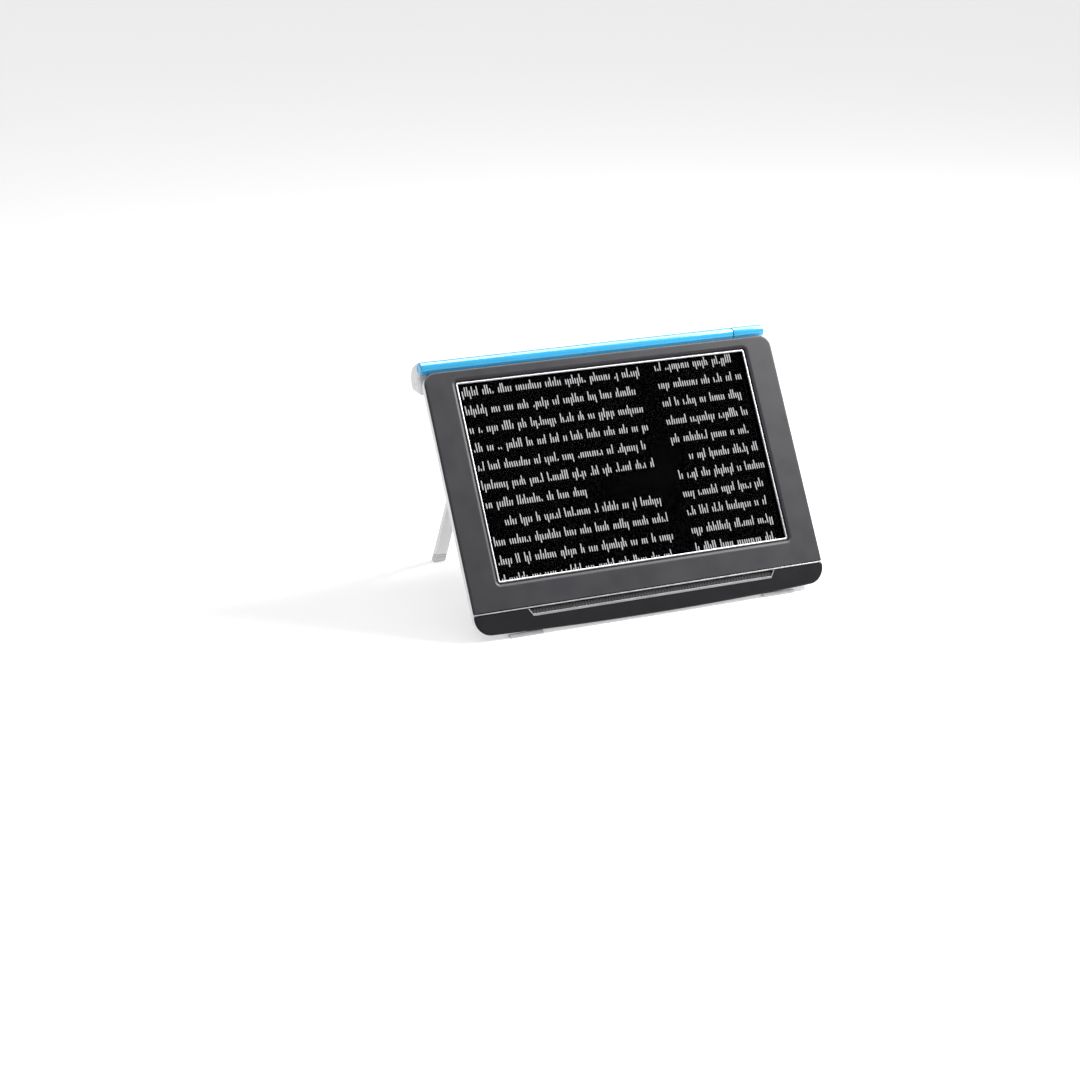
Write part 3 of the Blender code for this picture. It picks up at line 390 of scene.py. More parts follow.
# ---- materials
class Finish:
    """A Principled material whose colour, roughness and surface vary by position on the piece."""

    def __init__(self, name, colour, roughness, metallic=0.0):
        self.name = name
        self.material = bpy.data.materials.new(name)
        self.material.use_nodes = True
        self.tree = self.material.node_tree
        self.shader = self.tree.nodes["Principled BSDF"]
        self.colour = (*colour, 1)
        self.roughness = roughness
        self.set({"Base Color": self.colour, "Roughness": roughness, "Metallic": metallic})
        self.position = self.add("ShaderNodeTexCoord").outputs["Object"]
        self.height = None

    def set(self, inputs, node=None):
        for socket, value in inputs.items():
            (node or self.shader).inputs[socket].default_value = value

    def add(self, kind, inputs=None, **values):
        """A new node with its properties, then its inputs, set to values."""
        node = self.tree.nodes.new(kind)
        for key, value in values.items():
            setattr(node, key, value)
        self.set(inputs or {}, node)
        return node

    def join(self, output, socket):
        self.tree.links.new(output, socket)

    def noise(self, size, detail, stretch=(1, 1, 1)):
        """Smooth noise whose features are about size metres across, drawn out along an axis by stretch."""
        mapping = self.add("ShaderNodeMapping", {"Scale": [1 / factor for factor in stretch]})
        self.join(self.position, mapping.inputs["Vector"])
        noise = self.add("ShaderNodeTexNoise", {"Scale": 1 / size, "Detail": detail})
        self.join(mapping.outputs["Vector"], noise.inputs["Vector"])
        return noise.outputs["Fac"]

    def ranged(self, value, low, high):
        """A 0 to 1 value spread over a range."""
        inputs = {"From Min": 0.3, "From Max": 0.7, "To Min": low, "To Max": high}
        spread = self.add("ShaderNodeMapRange", inputs)
        self.join(value, spread.inputs["Value"])
        return spread.outputs["Result"]

    def grey(self, value):
        tint = self.add("ShaderNodeCombineColor")
        for channel in ("Red", "Green", "Blue"):
            self.join(value, tint.inputs[channel])
        return tint.outputs["Color"]

    def mottle(self, size, amount):
        """Uneven colour in soft patches."""
        inputs = {"Factor": 1, 6: self.colour}
        blend = self.add("ShaderNodeMix", inputs, data_type="RGBA", blend_type="MULTIPLY")
        shade = self.ranged(self.noise(size, 4), 1 - amount, 1 + amount)
        self.join(self.grey(shade), blend.inputs[7])
        self.join(blend.outputs[2], self.shader.inputs["Base Color"])
        return self

    def smudge(self, size, amount):
        """Uneven gloss, as handling leaves."""
        value = self.ranged(self.noise(size, 5), self.roughness - amount, self.roughness + amount)
        self.join(value, self.shader.inputs["Roughness"])
        return self

    def relief(self, value, depth):
        bump = self.add("ShaderNodeBump", {"Strength": 1, "Distance": depth})
        self.join(value, bump.inputs["Height"])
        if self.height is not None:
            self.join(self.height, bump.inputs["Normal"])
        self.height = bump.outputs["Normal"]
        self.join(self.height, self.shader.inputs["Normal"])
        return self

    def grain(self, size, depth, stretch=(1, 1, 1)):
        """A fine moulded or brushed texture."""
        return self.relief(self.noise(size, 3, stretch), depth)


def moulded(name, colour, roughness, grain_size, grain_depth, mottle):
    finish = Finish(name, colour, roughness).mottle(22 * MM, mottle).smudge(14 * MM, 0.05)
    return finish.grain(grain_size, grain_depth)


def brushed(name, colour, roughness, stretch=(30, 1, 1), depth=0.004 * MM):
    finish = Finish(name, colour, roughness, metallic=1.0).mottle(9 * MM, 0.05).smudge(5 * MM, 0.06)
    return finish.grain(0.25 * MM, depth, stretch=stretch)


def clear(name, colour, roughness, bending):
    finish = Finish(name, colour, roughness).smudge(30 * MM, roughness * 0.2)
    finish.set({"Transmission Weight": 1, "IOR": bending})
    return finish


def satin(name, colour, roughness, mottle, gloss):
    """Moulded plastic with a fine grain and a duller face."""
    finish = moulded(name, colour, roughness, 0.3 * MM, 0.01 * MM, mottle)
    finish.set({"Specular IOR Level": gloss})
    return finish


def white_plastic():
    finish = moulded("white_plastic", (0.64, 0.64, 0.65), 0.38, 0.4 * MM, 0.01 * MM, 0.015)
    finish.set({"Subsurface Weight": 0.08, "Subsurface Scale": 1.5 * MM})
    return finish


def blue_gloss():
    finish = Finish("blue_gloss", (0.002, 0.30, 0.56), 0.3).mottle(25 * MM, 0.04).smudge(9 * MM, 0.04)
    finish.set({"Specular IOR Level": 0.2, "Coat Weight": 1, "Coat Roughness": 0.1, "Coat IOR": 1.6})
    return finish.grain(2.5 * MM, 0.004 * MM)


def circuit_board():
    """Solder mask over copper tracks, which run in steps of a cell pattern."""
    finish = Finish("circuit_board", (0.02, 0.16, 0.06), 0.35).mottle(3 * MM, 0.3)
    inputs = {"Scale": 1 / (2.2 * MM)}
    tracks = finish.add("ShaderNodeTexVoronoi", inputs, feature="DISTANCE_TO_EDGE")
    finish.join(finish.position, tracks.inputs["Vector"])
    return finish.relief(tracks.outputs["Distance"], 0.05 * MM)


def display():
    finish = Finish("display", (0.0006, 0.0006, 0.0008), 0.16).mottle(20 * MM, 0.1).smudge(15 * MM, 0.04)
    finish.set({"Specular IOR Level": 0.03})
    return finish


def lit_marks():
    finish = Finish("lit_marks", (0.02, 0.02, 0.02), 0.6)
    finish.set({"Emission Strength": 0.6})
    shade = finish.ranged(finish.noise(6 * MM, 2), 0.86, 1.0)
    finish.join(finish.grey(shade), finish.shader.inputs["Emission Color"])
    return finish.material


FINISHES = {
    finish.name: finish.material
    for finish in (
        satin("charcoal_plastic", (0.016, 0.015, 0.019), 0.42, 0.06, 0.3),
        # The chin's plastic is darker than the bezel's charcoal. This is painted shade and a painted dark
        # reflection for the chin's face, which tilts down.
        satin("black_plastic", (0.007, 0.006, 0.008), 0.45, 0.08, 0.16),
        brushed("silver_trim", (0.38, 0.38, 0.395), 0.34, (12, 1, 1), 0.0004 * MM),
        moulded("black_mesh", (0.008, 0.008, 0.009), 0.7, 0.4 * MM, 0.05 * MM, 0.2),
        clear("cover_glass", (0.97, 0.98, 0.98), 0.05, 1.001),
        display(),
        moulded("cast_aluminium", (0.6, 0.61, 0.63), 0.45, 0.8 * MM, 0.06 * MM, 0.06),
        circuit_board(),
        moulded("battery_wrap", (0.03, 0.03, 0.035), 0.3, 4 * MM, 0.06 * MM, 0.1),
        white_plastic(),
        moulded("stand_white", (0.64, 0.64, 0.65), 0.42, 0.5 * MM, 0.02 * MM, 0.02),
        moulded("inner_plastic", (0.03, 0.03, 0.034), 0.5, 0.5 * MM, 0.02 * MM, 0.1),
        moulded("button_plastic", (0.035, 0.034, 0.038), 0.4, 0.3 * MM, 0.01 * MM, 0.06),
        brushed("socket_steel", (0.55, 0.55, 0.57), 0.25),
        clear("lens_glass", (0.5, 0.5, 0.55), 0.04, 1.5),
        moulded("frosted_window", (0.82, 0.84, 0.86), 0.55, 0.3 * MM, 0.02 * MM, 0.03),
        moulded("rubber_feet", (0.42, 0.42, 0.43), 0.8, 0.5 * MM, 0.04 * MM, 0.15),
        moulded("rubber_tips", (0.52, 0.52, 0.52), 0.75, 0.5 * MM, 0.04 * MM, 0.08),
        brushed("hinge_steel", (0.58, 0.58, 0.60), 0.28, (1, 20, 20), 0.0001 * MM),
        brushed("screw_steel", (0.45, 0.45, 0.47), 0.3, (1, 1, 1)),
        blue_gloss(),
    )
}
MARKS = lit_marks()
MARKS.cycles.emission_sampling = "NONE"


# ---- front
def screen_outline(grow, corner):
    side = SCREEN[1].x + grow
    height = SCREEN[1].z + grow
    return outline(-side, side, -height, height, corner)


def bezel_ring(depth, inset):
    """The casing's outline down to the seam over the chin line."""
    side = HALF_WIDTH - inset
    low = BEZEL[0].z + min(inset, 0.15 * MM)
    return at_depth(outline(-side, side, low, TOP - inset, 0.4 * MM, TOP_CORNER - inset), depth)


SKIRT = WALL + tray_inset(BEZEL_DEPTH + WALL) + GAP


def rim_rings(ring):
    """From the skirt out over the thin rim, and round the front edge to the flat of the face."""
    rings = [ring(RIM_DEPTH, SKIRT), ring(RIM_DEPTH, RIM_CHAMFER), ring(RIM_DEPTH - RIM_CHAMFER, 0)]
    rings += [ring(under, inset) for inset, under in quarter(FACE_ROUND, FACE_STEPS)]
    return [*rings, ring(0, FACE_ROUND + SUPPORT)]


def make_bezel():
    lip = GAP + LIP_WIDTH
    glass_front = local("cover_glass")[0].y - GAP
    inner = (
        # depth, how far outside the border, corner radius
        (0, lip + 0.9 * MM, 4.7 * MM),
        (0, lip + 0.45 * MM, 4.3 * MM),
        (0.03 * MM, lip + 0.15 * MM, 4.1 * MM),
        (0.12 * MM, lip - 0.15 * MM, 3.9 * MM),
        (0.5 * MM, GROOVE_WIDTH + 0.25 * MM, 2.8 * MM),
        (0.58 * MM, GROOVE_WIDTH + 0.06 * MM, 2.7 * MM),
        (0.72 * MM, GROOVE_WIDTH, 2.6 * MM),
        (GROOVE_DEPTH, GROOVE_WIDTH, 2.6 * MM),
        (GROOVE_DEPTH, GAP, 1.7 * MM),
        (glass_front, GAP, 1.7 * MM),
        (glass_front, 2.3 * MM, 1.5 * MM),
        (BEZEL_DEPTH, 2.3 * MM, 1.5 * MM),
    )
    rings = [bezel_ring(BEZEL_DEPTH, SKIRT), *rim_rings(bezel_ring)]
    rings += [at_depth(screen_outline(grow, corner), depth) for depth, grow, corner in inner]
    piece("bezel_frame", loft(rings, closed=True), "tablet", "charcoal_plastic", ["front_bezel"])


def make_trim():
    """The bright border line, a half-round strip in the lip."""
    front = SCREEN[0].y
    back = SCREEN[1].y
    profile = (
        (back, -0.05 * MM),
        (front + 0.35 * MM, 0),
        (front + 0.12 * MM, -0.1 * MM),
        (front, -0.35 * MM),
        (front + 0.02 * MM, -0.8 * MM),
        (front + 0.2 * MM, -1.1 * MM),
        (front + 0.5 * MM, -1.2 * MM),
        (back, -1.15 * MM),
    )
    rings = [at_depth(screen_outline(grow, 1.5 * MM + grow / 2), depth) for depth, grow in profile]
    piece("screen_border", loft(rings, closed=True), "tablet", "silver_trim", ["screen_trim"])


def make_glass():
    low, high = local("cover_glass")
    grow = high.x - SCREEN[1].x
    edge = 0.15 * MM
    rings = (
        at_depth(screen_outline(grow - edge, 1.6 * MM), low.y),
        at_depth(screen_outline(grow, 1.7 * MM), low.y + edge),
        at_depth(screen_outline(grow, 1.7 * MM), high.y - edge),
        at_depth(screen_outline(grow - edge, 1.6 * MM), high.y),
    )
    piece("screen_glass", loft(rings), "tablet", "cover_glass", ["cover_glass"])


def chin_slope(z):
    """Depth of the chin's sloping face at a height."""
    return CHIN_SETBACK * (LINE[0].z - z) / (LINE[0].z - CHIN[0].z)


def slot_half(z, grow=0.0):
    """Half the slot's width at a height: it narrows downwards."""
    widest = local("slot_edge")[1].x + GAP
    return widest + grow - SLOT_SLANT * (CHIN_TOP - z) / SLOT_HEIGHT


def chin_ring(depth, inset):
    """One outline of the chin, whose depth follows the slope."""
    side = HALF_WIDTH - inset
    top = CHIN_TOP - min(inset, 0.15 * MM)
    points = outline(-side, side, LOW + inset, top, LOW_CORNER - inset, 0.3 * MM, CHIN_BOW)
    return [(x, depth + chin_slope(z), z) for x, z in points]


def make_chin():
    rings = rim_rings(chin_ring)
    rings.insert(0, [(x, CHIN[1].y, z) for x, _, z in rings[0]])
    low = CHIN_TOP - SLOT_HEIGHT
    over = CHIN_TOP + THROUGH
    slot = mirrored([(slot_half(low), low, 0.5 * MM), (slot_half(over), over, 0)])
    shape = carve(loft(rings), plate(slot, -THROUGH, SLOT_DEPTH))
    # The chin's darker colour is painted shade for its downward-tilted face.
    piece("chin", shape, "tablet", "black_plastic", ["chin_cover"])


def make_chin_line():
    def ring(depth, inset):
        side = HALF_WIDTH - inset
        rim = min(inset, 0.2 * MM)
        points = outline(-side, side, LINE[0].z + rim, LINE[1].z - rim, 0.25 * MM)
        return at_depth(points, LINE[0].y + depth)

    rim_depth = RIM_DEPTH - LINE[0].y
    rings = [ring(LINE[1].y - LINE[0].y, SKIRT), ring(rim_depth, SKIRT), ring(rim_depth, 0)]
    rings += [ring(under, inset) for inset, under in quarter(FACE_ROUND, FACE_STEPS)]
    piece("chin_strip", loft(rings), "tablet", "silver_trim", ["chin_line"])


def make_slot_edge():
    """The bright rim round the slot: down both slants and along the bottom."""
    low = CHIN_TOP - SLOT_HEIGHT + GAP
    inner_low = low + SLOT_EDGE
    inward = GAP + SLOT_EDGE / 2
    top = CHIN_TOP - 0.05 * MM
    points = mirrored([
        (slot_half(low, -GAP), low, 0.4 * MM),
        (slot_half(CHIN_TOP, -GAP), top, 0),
        (slot_half(CHIN_TOP, -inward), top, 0),
        (slot_half(inner_low, -inward), inner_low, 0.25 * MM),
    ])
    proud = 0.2 * MM
    rings = [[(x, chin_slope(z) - proud, z) for x, z in points], at_depth(points, SLOT_DEPTH - GAP)]
    rounding = 0.12 * MM
    piece("slot_rim", loft(rings), "tablet", "silver_trim", ["slot_edge"], rounding=rounding, segments=3)


def make_grille():
    """A black plate with upright louvres over the speakers."""
    low, high = local("speaker_grille")
    pitch = 2.2 * MM
    thin = 0.35 * MM
    shapes = [block((low.x, high.y - 0.4 * MM, low.z), (high.x, high.y, high.z))]
    count = int((high.x - low.x - 2 * SLOT_SLANT) / pitch)
    for index in range(count + 1):
        x = (index - count / 2) * pitch
        shapes.append(block((x - thin, low.y, low.z), (x + thin, high.y - 0.2 * MM, high.z)))
    whole = fuse(shapes[0], merged(*shapes[1:]))
    piece("slot_grille", whole, "tablet", "black_mesh", ["speaker_grille"])


# ---- what the display shows
ROWS = 11
LINE_PITCH = 12.85 * MM
MARK_PITCH = 1.75 * MM
MARK_WIDTH = 0.78 * MM
MARK_HEIGHT = 4.1 * MM
WORD_GAP = 2.6 * MM


def stroke(x, low, high, lean):
    """A slim upright mark with pointed ends, leaning by a distance."""
    half = MARK_WIDTH / 2
    tip = 0.5 * MM
    return (
        (x, low),
        (x + half, low + tip),
        (x + half + lean, high - tip),
        (x + lean, high),
        (x - half + lean, high - tip),
        (x - half, low + tip),
    )


def mark_row(chance, left, right, base):
    """One row of marks, grouped like words: most are plain, some are tall, short or hang down."""
    x = left
    while x < right - 3 * MARK_PITCH:
        for _ in range(chance.choice((2, 3, 4, 5, 6, 7, 9, 11))):
            if x > right - MARK_WIDTH:
                break
            kind = chance.random()
            low = base - (2.0 * MM if kind > 0.9 else 0)
            high = base + MARK_HEIGHT * (1.65 if kind < 0.22 else 1)
            if 0.4 < kind < 0.46:
                high = base + MARK_HEIGHT * 0.45
            yield stroke(x, low, high, chance.uniform(-0.35, 0.35) * MM)
            x += MARK_PITCH
        x += WORD_GAP


def make_marks():
    """Rows of plain upright marks in two columns, cut off by the border."""
    chance = random.Random(7)
    panel = local("lcd_panel")[0].y
    side = SCREEN[1].x - 1.4 * MM
    edge = SCREEN[1].z - 1.4 * MM
    columns = (
        # left, right, middle of the first row, the row that is indented and the row that ends early
        (-104.5 * MM, 27.5 * MM, 61.1 * MM, 7, 6),
        (39.9 * MM, side, 63 * MM, 5, None),
    )
    marks = []
    for left, right, first, indented, short in columns:
        for row in range(ROWS):
            base = first - row * LINE_PITCH - MARK_HEIGHT / 2
            start = left + (11 * MM if row == indented else 0)
            end = left + 80 * MM if row == short else right
            for corners in mark_row(chance, start, end, base):
                points = [(max(-side, min(side, x)), max(-edge, min(edge, z))) for x, z in corners]
                heights = [z for _, z in points]
                if max(heights) - min(heights) > 1.2 * MM:
                    marks.append(plate(points, panel - 0.12 * MM, panel - 0.05 * MM))
    obj = piece("display_marks", merged(*marks), "tablet", "display")
    obj.data.materials[0] = MARKS


# ---- back
DOOR = local("battery_cover")
HUMP_INSIDE = local("main_board")
HUMP_HALF_WIDTH = HUMP_INSIDE[1].x + 2 * WALL
HUMP_TOP = HUMP_INSIDE[1].z + 2 * WALL
HUMP_LOW = LOW + HUMP_RISE


def hump_outline(inset):
    side = HUMP_HALF_WIDTH - inset
    corner = HUMP_CORNER - inset
    return outline(-side, side, HUMP_LOW + inset, HUMP_TOP - inset, corner)


def shell_rings():
    """From the hump's floor inside, out over the rim, and round the back to the hump's face."""
    inner_back = TRAY_DEPTH - WALL
    rings = [at_depth(hump_outline(WALL + 1.5 * MM), HUMP_DEPTH - WALL)]
    rings.append(at_depth(hump_outline(WALL), inner_back))
    for step in range(6, -1, -1):
        part = step / 6
        follow = tray_inset(TRAY_FRONT + (TRAY_DEPTH - TRAY_FRONT) * part)
        depth = TRAY_FRONT + (inner_back - TRAY_FRONT) * part
        rings.append(at_depth(tablet_outline(WALL + follow), depth))
    for _, rise in arc(0, 0, 1, 0, 90, 12):
        depth = TRAY_FRONT + (TRAY_DEPTH - TRAY_FRONT) * rise
        rings.append(at_depth(tablet_outline(tray_inset(depth)), depth))
    for inset, under in quarter(HUMP_FOOT, 4):
        rings.append(at_depth(hump_outline(-under), TRAY_DEPTH + inset))
    for inset, under in quarter(HUMP_CROWN, 6):
        rings.append(at_depth(hump_outline(HUMP_DRAFT + inset), HUMP_DEPTH - under))
    return rings


BUTTONS = ("power_button", "zoom_in_button", "zoom_out_button")
SCREWS = tuple(f"rear_screw_{number}" for number in range(1, 5))
BRACKET_SCREWS = ("bracket_screw_1", "bracket_screw_2")
VENTS = 9
VENT_START = 14 * MM
VENT_PITCH = 4.6 * MM


def shell_cutters():
    rim = [(chin_slope(z) + RIM_DEPTH + GAP, z) for z in (LINE[0].z, 2 * LOW)]
    section = [(-THROUGH, LINE[0].z), *rim, (-THROUGH, 2 * LOW)]
    yield bar(section, -2 * HALF_WIDTH, 2 * HALF_WIDTH)
    door = [DOOR[0].x - GAP, DOOR[1].x + GAP, DOOR[0].z - GAP, DOOR[1].z + GAP]
    yield plate(outline(*door, 4 * MM), HUMP_DEPTH - 2 * WALL, HUMP_DEPTH + THROUGH)
    for node in ("rear_camera_window", "rear_led_window"):
        middle, half = centre_and_half(node)
        start = (middle.x, HUMP_DEPTH - 2 * WALL, middle.z)
        yield rod(half.x + GAP / 2, start, (middle.x, HUMP_DEPTH + THROUGH, middle.z))
    outside = HALF_WIDTH + THROUGH
    inside = HALF_WIDTH - 12 * MM
    for node in BUTTONS:
        middle, _ = centre_and_half(node)
        yield bar(racetrack(middle, BUTTON_HALF, -0.2 * MM), inside, outside)
    middle, half = centre_and_half("usb_socket")
    yield bar(racetrack(middle, half, -GAP / 2), inside, outside)
    middle, half = centre_and_half("audio_socket")
    yield rod(half.y + GAP / 2, (inside, middle.y, middle.z), (outside, middle.y, middle.z))
    for node in SCREWS:
        middle, half = centre_and_half(node)
        out = (middle.x, TRAY_DEPTH + THROUGH, middle.z)
        yield rod(half.x + 0.2 * MM, (middle.x, TRAY_DEPTH - 0.9 * MM, middle.z), out)
        yield rod(1.5 * MM, (middle.x, TRAY_FRONT, middle.z), out)
    middle, half = centre_and_half("rear_camera_window")
    for index in range(VENTS):
        slot = round_box(VENT_START + index * VENT_PITCH, middle.z, 0.8 * MM, half.z, 0.75 * MM)
        yield plate(slot, HUMP_DEPTH - 0.9 * MM, HUMP_DEPTH + THROUGH)


def button_half():
    """Half the size of a button's cap, without its flange."""
    _, half = centre_and_half("power_button")
    return half - Vector((0, 0, 1 * MM))


BUTTON_HALF = button_half()


def make_shell():
    shape = carve(loft(shell_rings()), *shell_cutters())
    piece("casing_back", shape, "tablet", "white_plastic", ["rear_shell"])


def make_battery_cover():
    """A door with rounded edges and a fan of grip grooves."""
    low, high = DOOR
    widest = 3.7 * MM
    rings = [at_depth(outline(low.x, high.x, low.z, high.z, widest), low.y)]
    for inset, under in quarter(0.5 * MM, 4):
        sides = (low.x + inset, high.x - inset, low.z + inset, high.z - inset)
        rings.append(at_depth(outline(*sides, widest - inset), high.y - under))
    grooves = []
    for index in range(6):
        half = (14 - index * 1.2) * MM
        y = high.y + 0.1 * MM
        z = high.z - (8 + index * 2.2) * MM
        grooves.append(rod(0.55 * MM, (-half, y, z), (half, y, z), 0.5 * MM, 16))
    piece("battery_door", carve(loft(rings), *grooves), "tablet", "white_plastic", ["battery_cover"])


def sign_cutters(name, middle, face):
    """A ring, a minus or a plus, cut into a button's face."""
    thin = 0.18 * MM
    reach = 0.75 * MM
    if name == "power_button":
        ring = [(reach - thin, 0), (reach + thin, 0), (reach + thin, THROUGH), (reach - thin, THROUGH)]
        return [turned(ring, along((face, middle.y, middle.z), (1, 0, 0)), closed=True, steps=24)]
    strokes = [Vector((0, reach, thin))]
    if name == "zoom_in_button":
        strokes.append(Vector((0, thin, reach)))
    start = Vector((face, middle.y, middle.z))
    return [block(start - half, start + half + Vector((THROUGH, 0, 0))) for half in strokes]


def make_buttons():
    """Pill-shaped caps on the right side, each with an engraved sign."""
    crown = 0.35 * MM
    chamfer = 0.12 * MM
    for name in BUTTONS:
        low, high = local(name)
        middle = (low + high) / 2
        rings = []
        for inset, x in ((0, low.x), (0, high.x - crown), (chamfer, high.x - chamfer), (crown, high.x)):
            rings.append([(x, y, z) for y, z in racetrack(middle, BUTTON_HALF, inset)])
        cap = carve(loft(rings), *sign_cutters(name, middle, high.x - 0.15 * MM))
        piece(f"{name}_cap", cap, name, "button_plastic", [name])


def make_usb():
    low, high = local("usb_socket")
    middle, half = centre_and_half("usb_socket")
    hollow = racetrack(middle, half, 0.35 * MM)
    shape = carve(bar(racetrack(middle, half), low.x, high.x), bar(hollow, low.x + MM, high.x + THROUGH))
    piece("usb_shell", shape, "tablet", "socket_steel", ["usb_socket"], rounding=0.08 * MM)
    tongue = racetrack(middle, Vector((0, 0.35 * MM, half.z - 1.3 * MM)))
    piece("usb_tongue", bar(tongue, low.x + 1.1 * MM, high.x - 0.6 * MM), "tablet", "inner_plastic")


def make_audio():
    middle, half = centre_and_half("audio_socket")
    outer = half.y
    bore = 1.7 * MM
    length = 2 * half.x
    profile = (
        (0.2 * MM, 0),
        (outer, 0),
        (outer, length - 0.1 * MM),
        (outer - 0.1 * MM, length),
        (bore + 0.25 * MM, length),
        (bore, length - 0.3 * MM),
        (bore, MM),
        (0.2 * MM, MM),
    )
    place = along((middle.x - half.x, middle.y, middle.z), (1, 0, 0))
    shape = turned(profile, place, closed=True)
    piece("audio_ring", shape, "tablet", "inner_plastic", ["audio_socket"])


def screw_shape(node):
    """A flat head with a rounded rim and a cross recess, over its shank, along the tablet's depth."""
    middle, half = centre_and_half(node)
    head = half.x
    length = 2 * half.y
    under = length - SCREW_HEAD
    profile = (
        (1.05 * MM, 0),
        (1.2 * MM, 0.2 * MM),
        (1.2 * MM, under),
        (head, under),
        (head, length - 0.2 * MM),
        (head - 0.06 * MM, length - 0.06 * MM),
        (head - 0.2 * MM, length),
    )
    shape = turned(profile, along(middle - Vector((0, half.y, 0)), (0, 1, 0)), steps=40)
    wing = head * 0.55
    thin = head * 0.13
    floor = middle + Vector((0, half.y - 0.45 * MM, 0))
    cross = []
    for x, z in ((wing, thin), (thin, wing)):
        cross.append(block(floor - Vector((x, 0, z)), floor + Vector((x, THROUGH, z))))
    return carve(shape, *cross)


def make_screws():
    for node in (*SCREWS, *BRACKET_SCREWS):
        piece(f"{node}_head", screw_shape(node), "tablet", "screw_steel", [node])


def make_windows():
    """The camera eye and its light, each with a chamfered rim."""
    for node, slot in (("rear_camera_window", "lens_glass"), ("rear_led_window", "frosted_window")):
        middle, half = centre_and_half(node)
        place = along((middle.x, middle.y - half.y, middle.z), (0, 1, 0))
        piece(f"{node}_pane", disc(half.x, 2 * half.y, 0.2 * MM, place), "tablet", slot, [node])


def make_base_feet():
    """Wedges of rubber with rounded edges."""
    for name in ("left", "right"):
        node = f"base_foot_{name}"
        low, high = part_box(node)
        shape = bar(foot_section(node), low.x, high.x)
        piece(f"{node}_pad", shape, "tablet", "rubber_feet", [node], rounding=0.35 * MM, segments=3)


def foot_section(node):
    """The wedge's corners of depth and height, read from the ends of its solid."""
    back = TABLET.inverted()
    left = min(vertex.co.x for vertex in NODES[node].data.vertices)
    found = []
    for vertex in NODES[node].data.vertices:
        point = back @ vertex.co
        near = all((point - other).length > 0.01 * MM for other in found)
        if abs(vertex.co.x - left) < 0.01 * MM and near:
            found.append(point)
    middle = sum(found, Vector()) / len(found)
    found.sort(key=lambda point: math.atan2(point.z - middle.z, point.y - middle.y))
    return [(point.y, point.z) for point in found]


# ---- stand
def stand_box(node):
    return box_in(node, STAND)


def floor_line(y, above):
    """Where a point of the open leg at a thickness y has a height above the floor."""
    return -(STAND_JOINT.z - above + y * math.sin(LEG_TILT)) / math.cos(LEG_TILT)


def make_legs():
    bar_low, bar_high = stand_box("stand_crossbar")
    bar_radius = (bar_high.y - bar_low.y) / 2
    bore = bar_radius + BORE_ROOM
    corner = 1.1 * MM
    # In mm: how far in a tip's side lies, and the height above the floor
    tip_profile = ((0.3, 6), (0, 5.7), (0, 4.6), (0.35, 4.4), (0.35, 3.9), (0, 3.7), (0, 0.5), (0.4, 0))
    tip_height = 6 * MM
    for name in ("left", "right"):
        low, high = stand_box(f"stand_leg_{name}")
        tip_low, tip_high = stand_box(f"leg_tip_{name}")
        middle = (low.x + high.x) / 2
        half_width = (high.x - low.x) / 2
        half_depth = (tip_high.y - tip_low.y) / 2

        def section(inset, rounding):
            points = round_box(0, 0, half_width - inset, half_depth - inset, rounding)
            return [(x + middle, y) for x, y in points]

        chamfer = 0.25 * MM
        foot = tip_height + GAP
        rings = [[(x, y, 0) for x, y in section(0, corner)]]
        for inset, above in ((0, foot + chamfer), (chamfer, foot)):
            rings.append([(x, y, floor_line(y, above)) for x, y in section(inset, corner - inset)])
        eye = rod(bore + KNUCKLE_WALL, (low.x, 0, 0), (high.x, 0, 0), 0.8 * MM)
        hole = rod(bore, (low.x - THROUGH, 0, 0), (high.x + THROUGH, 0, 0))
        shape = carve(fuse(loft(rings), eye), hole)
        piece(f"leg_{name}", shape, "stand", "stand_white", [f"stand_leg_{name}"], STAND)

        rings = [
            [(x, y, floor_line(y, above * MM)) for x, y in section(inset * MM, corner)]
            for inset, above in tip_profile
        ]
        piece(f"tip_{name}", loft(rings), "stand", "rubber_tips", [f"leg_tip_{name}"], STAND)
    shape = rod(bar_radius, (bar_low.x, 0, 0), (bar_high.x, 0, 0), 0.5 * MM)
    piece("crossbar", shape, "stand", "hinge_steel", ["stand_crossbar"], STAND)


def make_stand_brackets():
    bar_low, bar_high = stand_box("stand_crossbar")
    bore = (bar_high.y - bar_low.y) / 2 + BORE_ROOM
    y, z = STAND_AXIS.yz
    for name in ("left", "right"):
        node = f"stand_bracket_{name}"
        low, high = local(node)
        radius = high.y - y
        section = [(low.y, z - radius), *arc(y, z, radius, -90, 240, 30), (low.y, z + radius / 2)]
        hole = rod(bore, (low.x - THROUGH, y, z), (high.x + THROUGH, y, z))
        shape = carve(bar(section, low.x, high.x), hole)
        piece(f"{node}_eye", shape, "tablet", "white_plastic", [node], rounding=0.4 * MM, segments=3)


# ---- arm
HOUSING = local("arm_housing")
BRACKET = local("arm_hinge_bracket")
PIN = local("arm_hinge_pin")
PIN_RADIUS = (PIN[1].x - PIN[0].x) / 2
PIN_BORE = PIN_RADIUS + BORE_ROOM
WASHER = local("arm_hinge_washer")
ARM_FRONT = TRAY_DEPTH + GAP
ARM_BACK = 2 * PIVOT.y - ARM_FRONT
ARM_RISE = 8.7 * MM
ARM_CORNER = 2.6 * MM
ARM_UNDERSIDE = math.atan2(ARM_RISE, ARM_BACK - ARM_FRONT)
WINDOW_CENTRE = Vector((0, PIVOT.y, HOUSING[0].z + ARM_RISE / 2))
WINDOW = TABLET @ Matrix.Translation(WINDOW_CENTRE) @ Matrix.Rotation(ARM_UNDERSIDE, 4, "X")


def at_pivot(height):
    return (PIVOT.x, PIVOT.y, height)


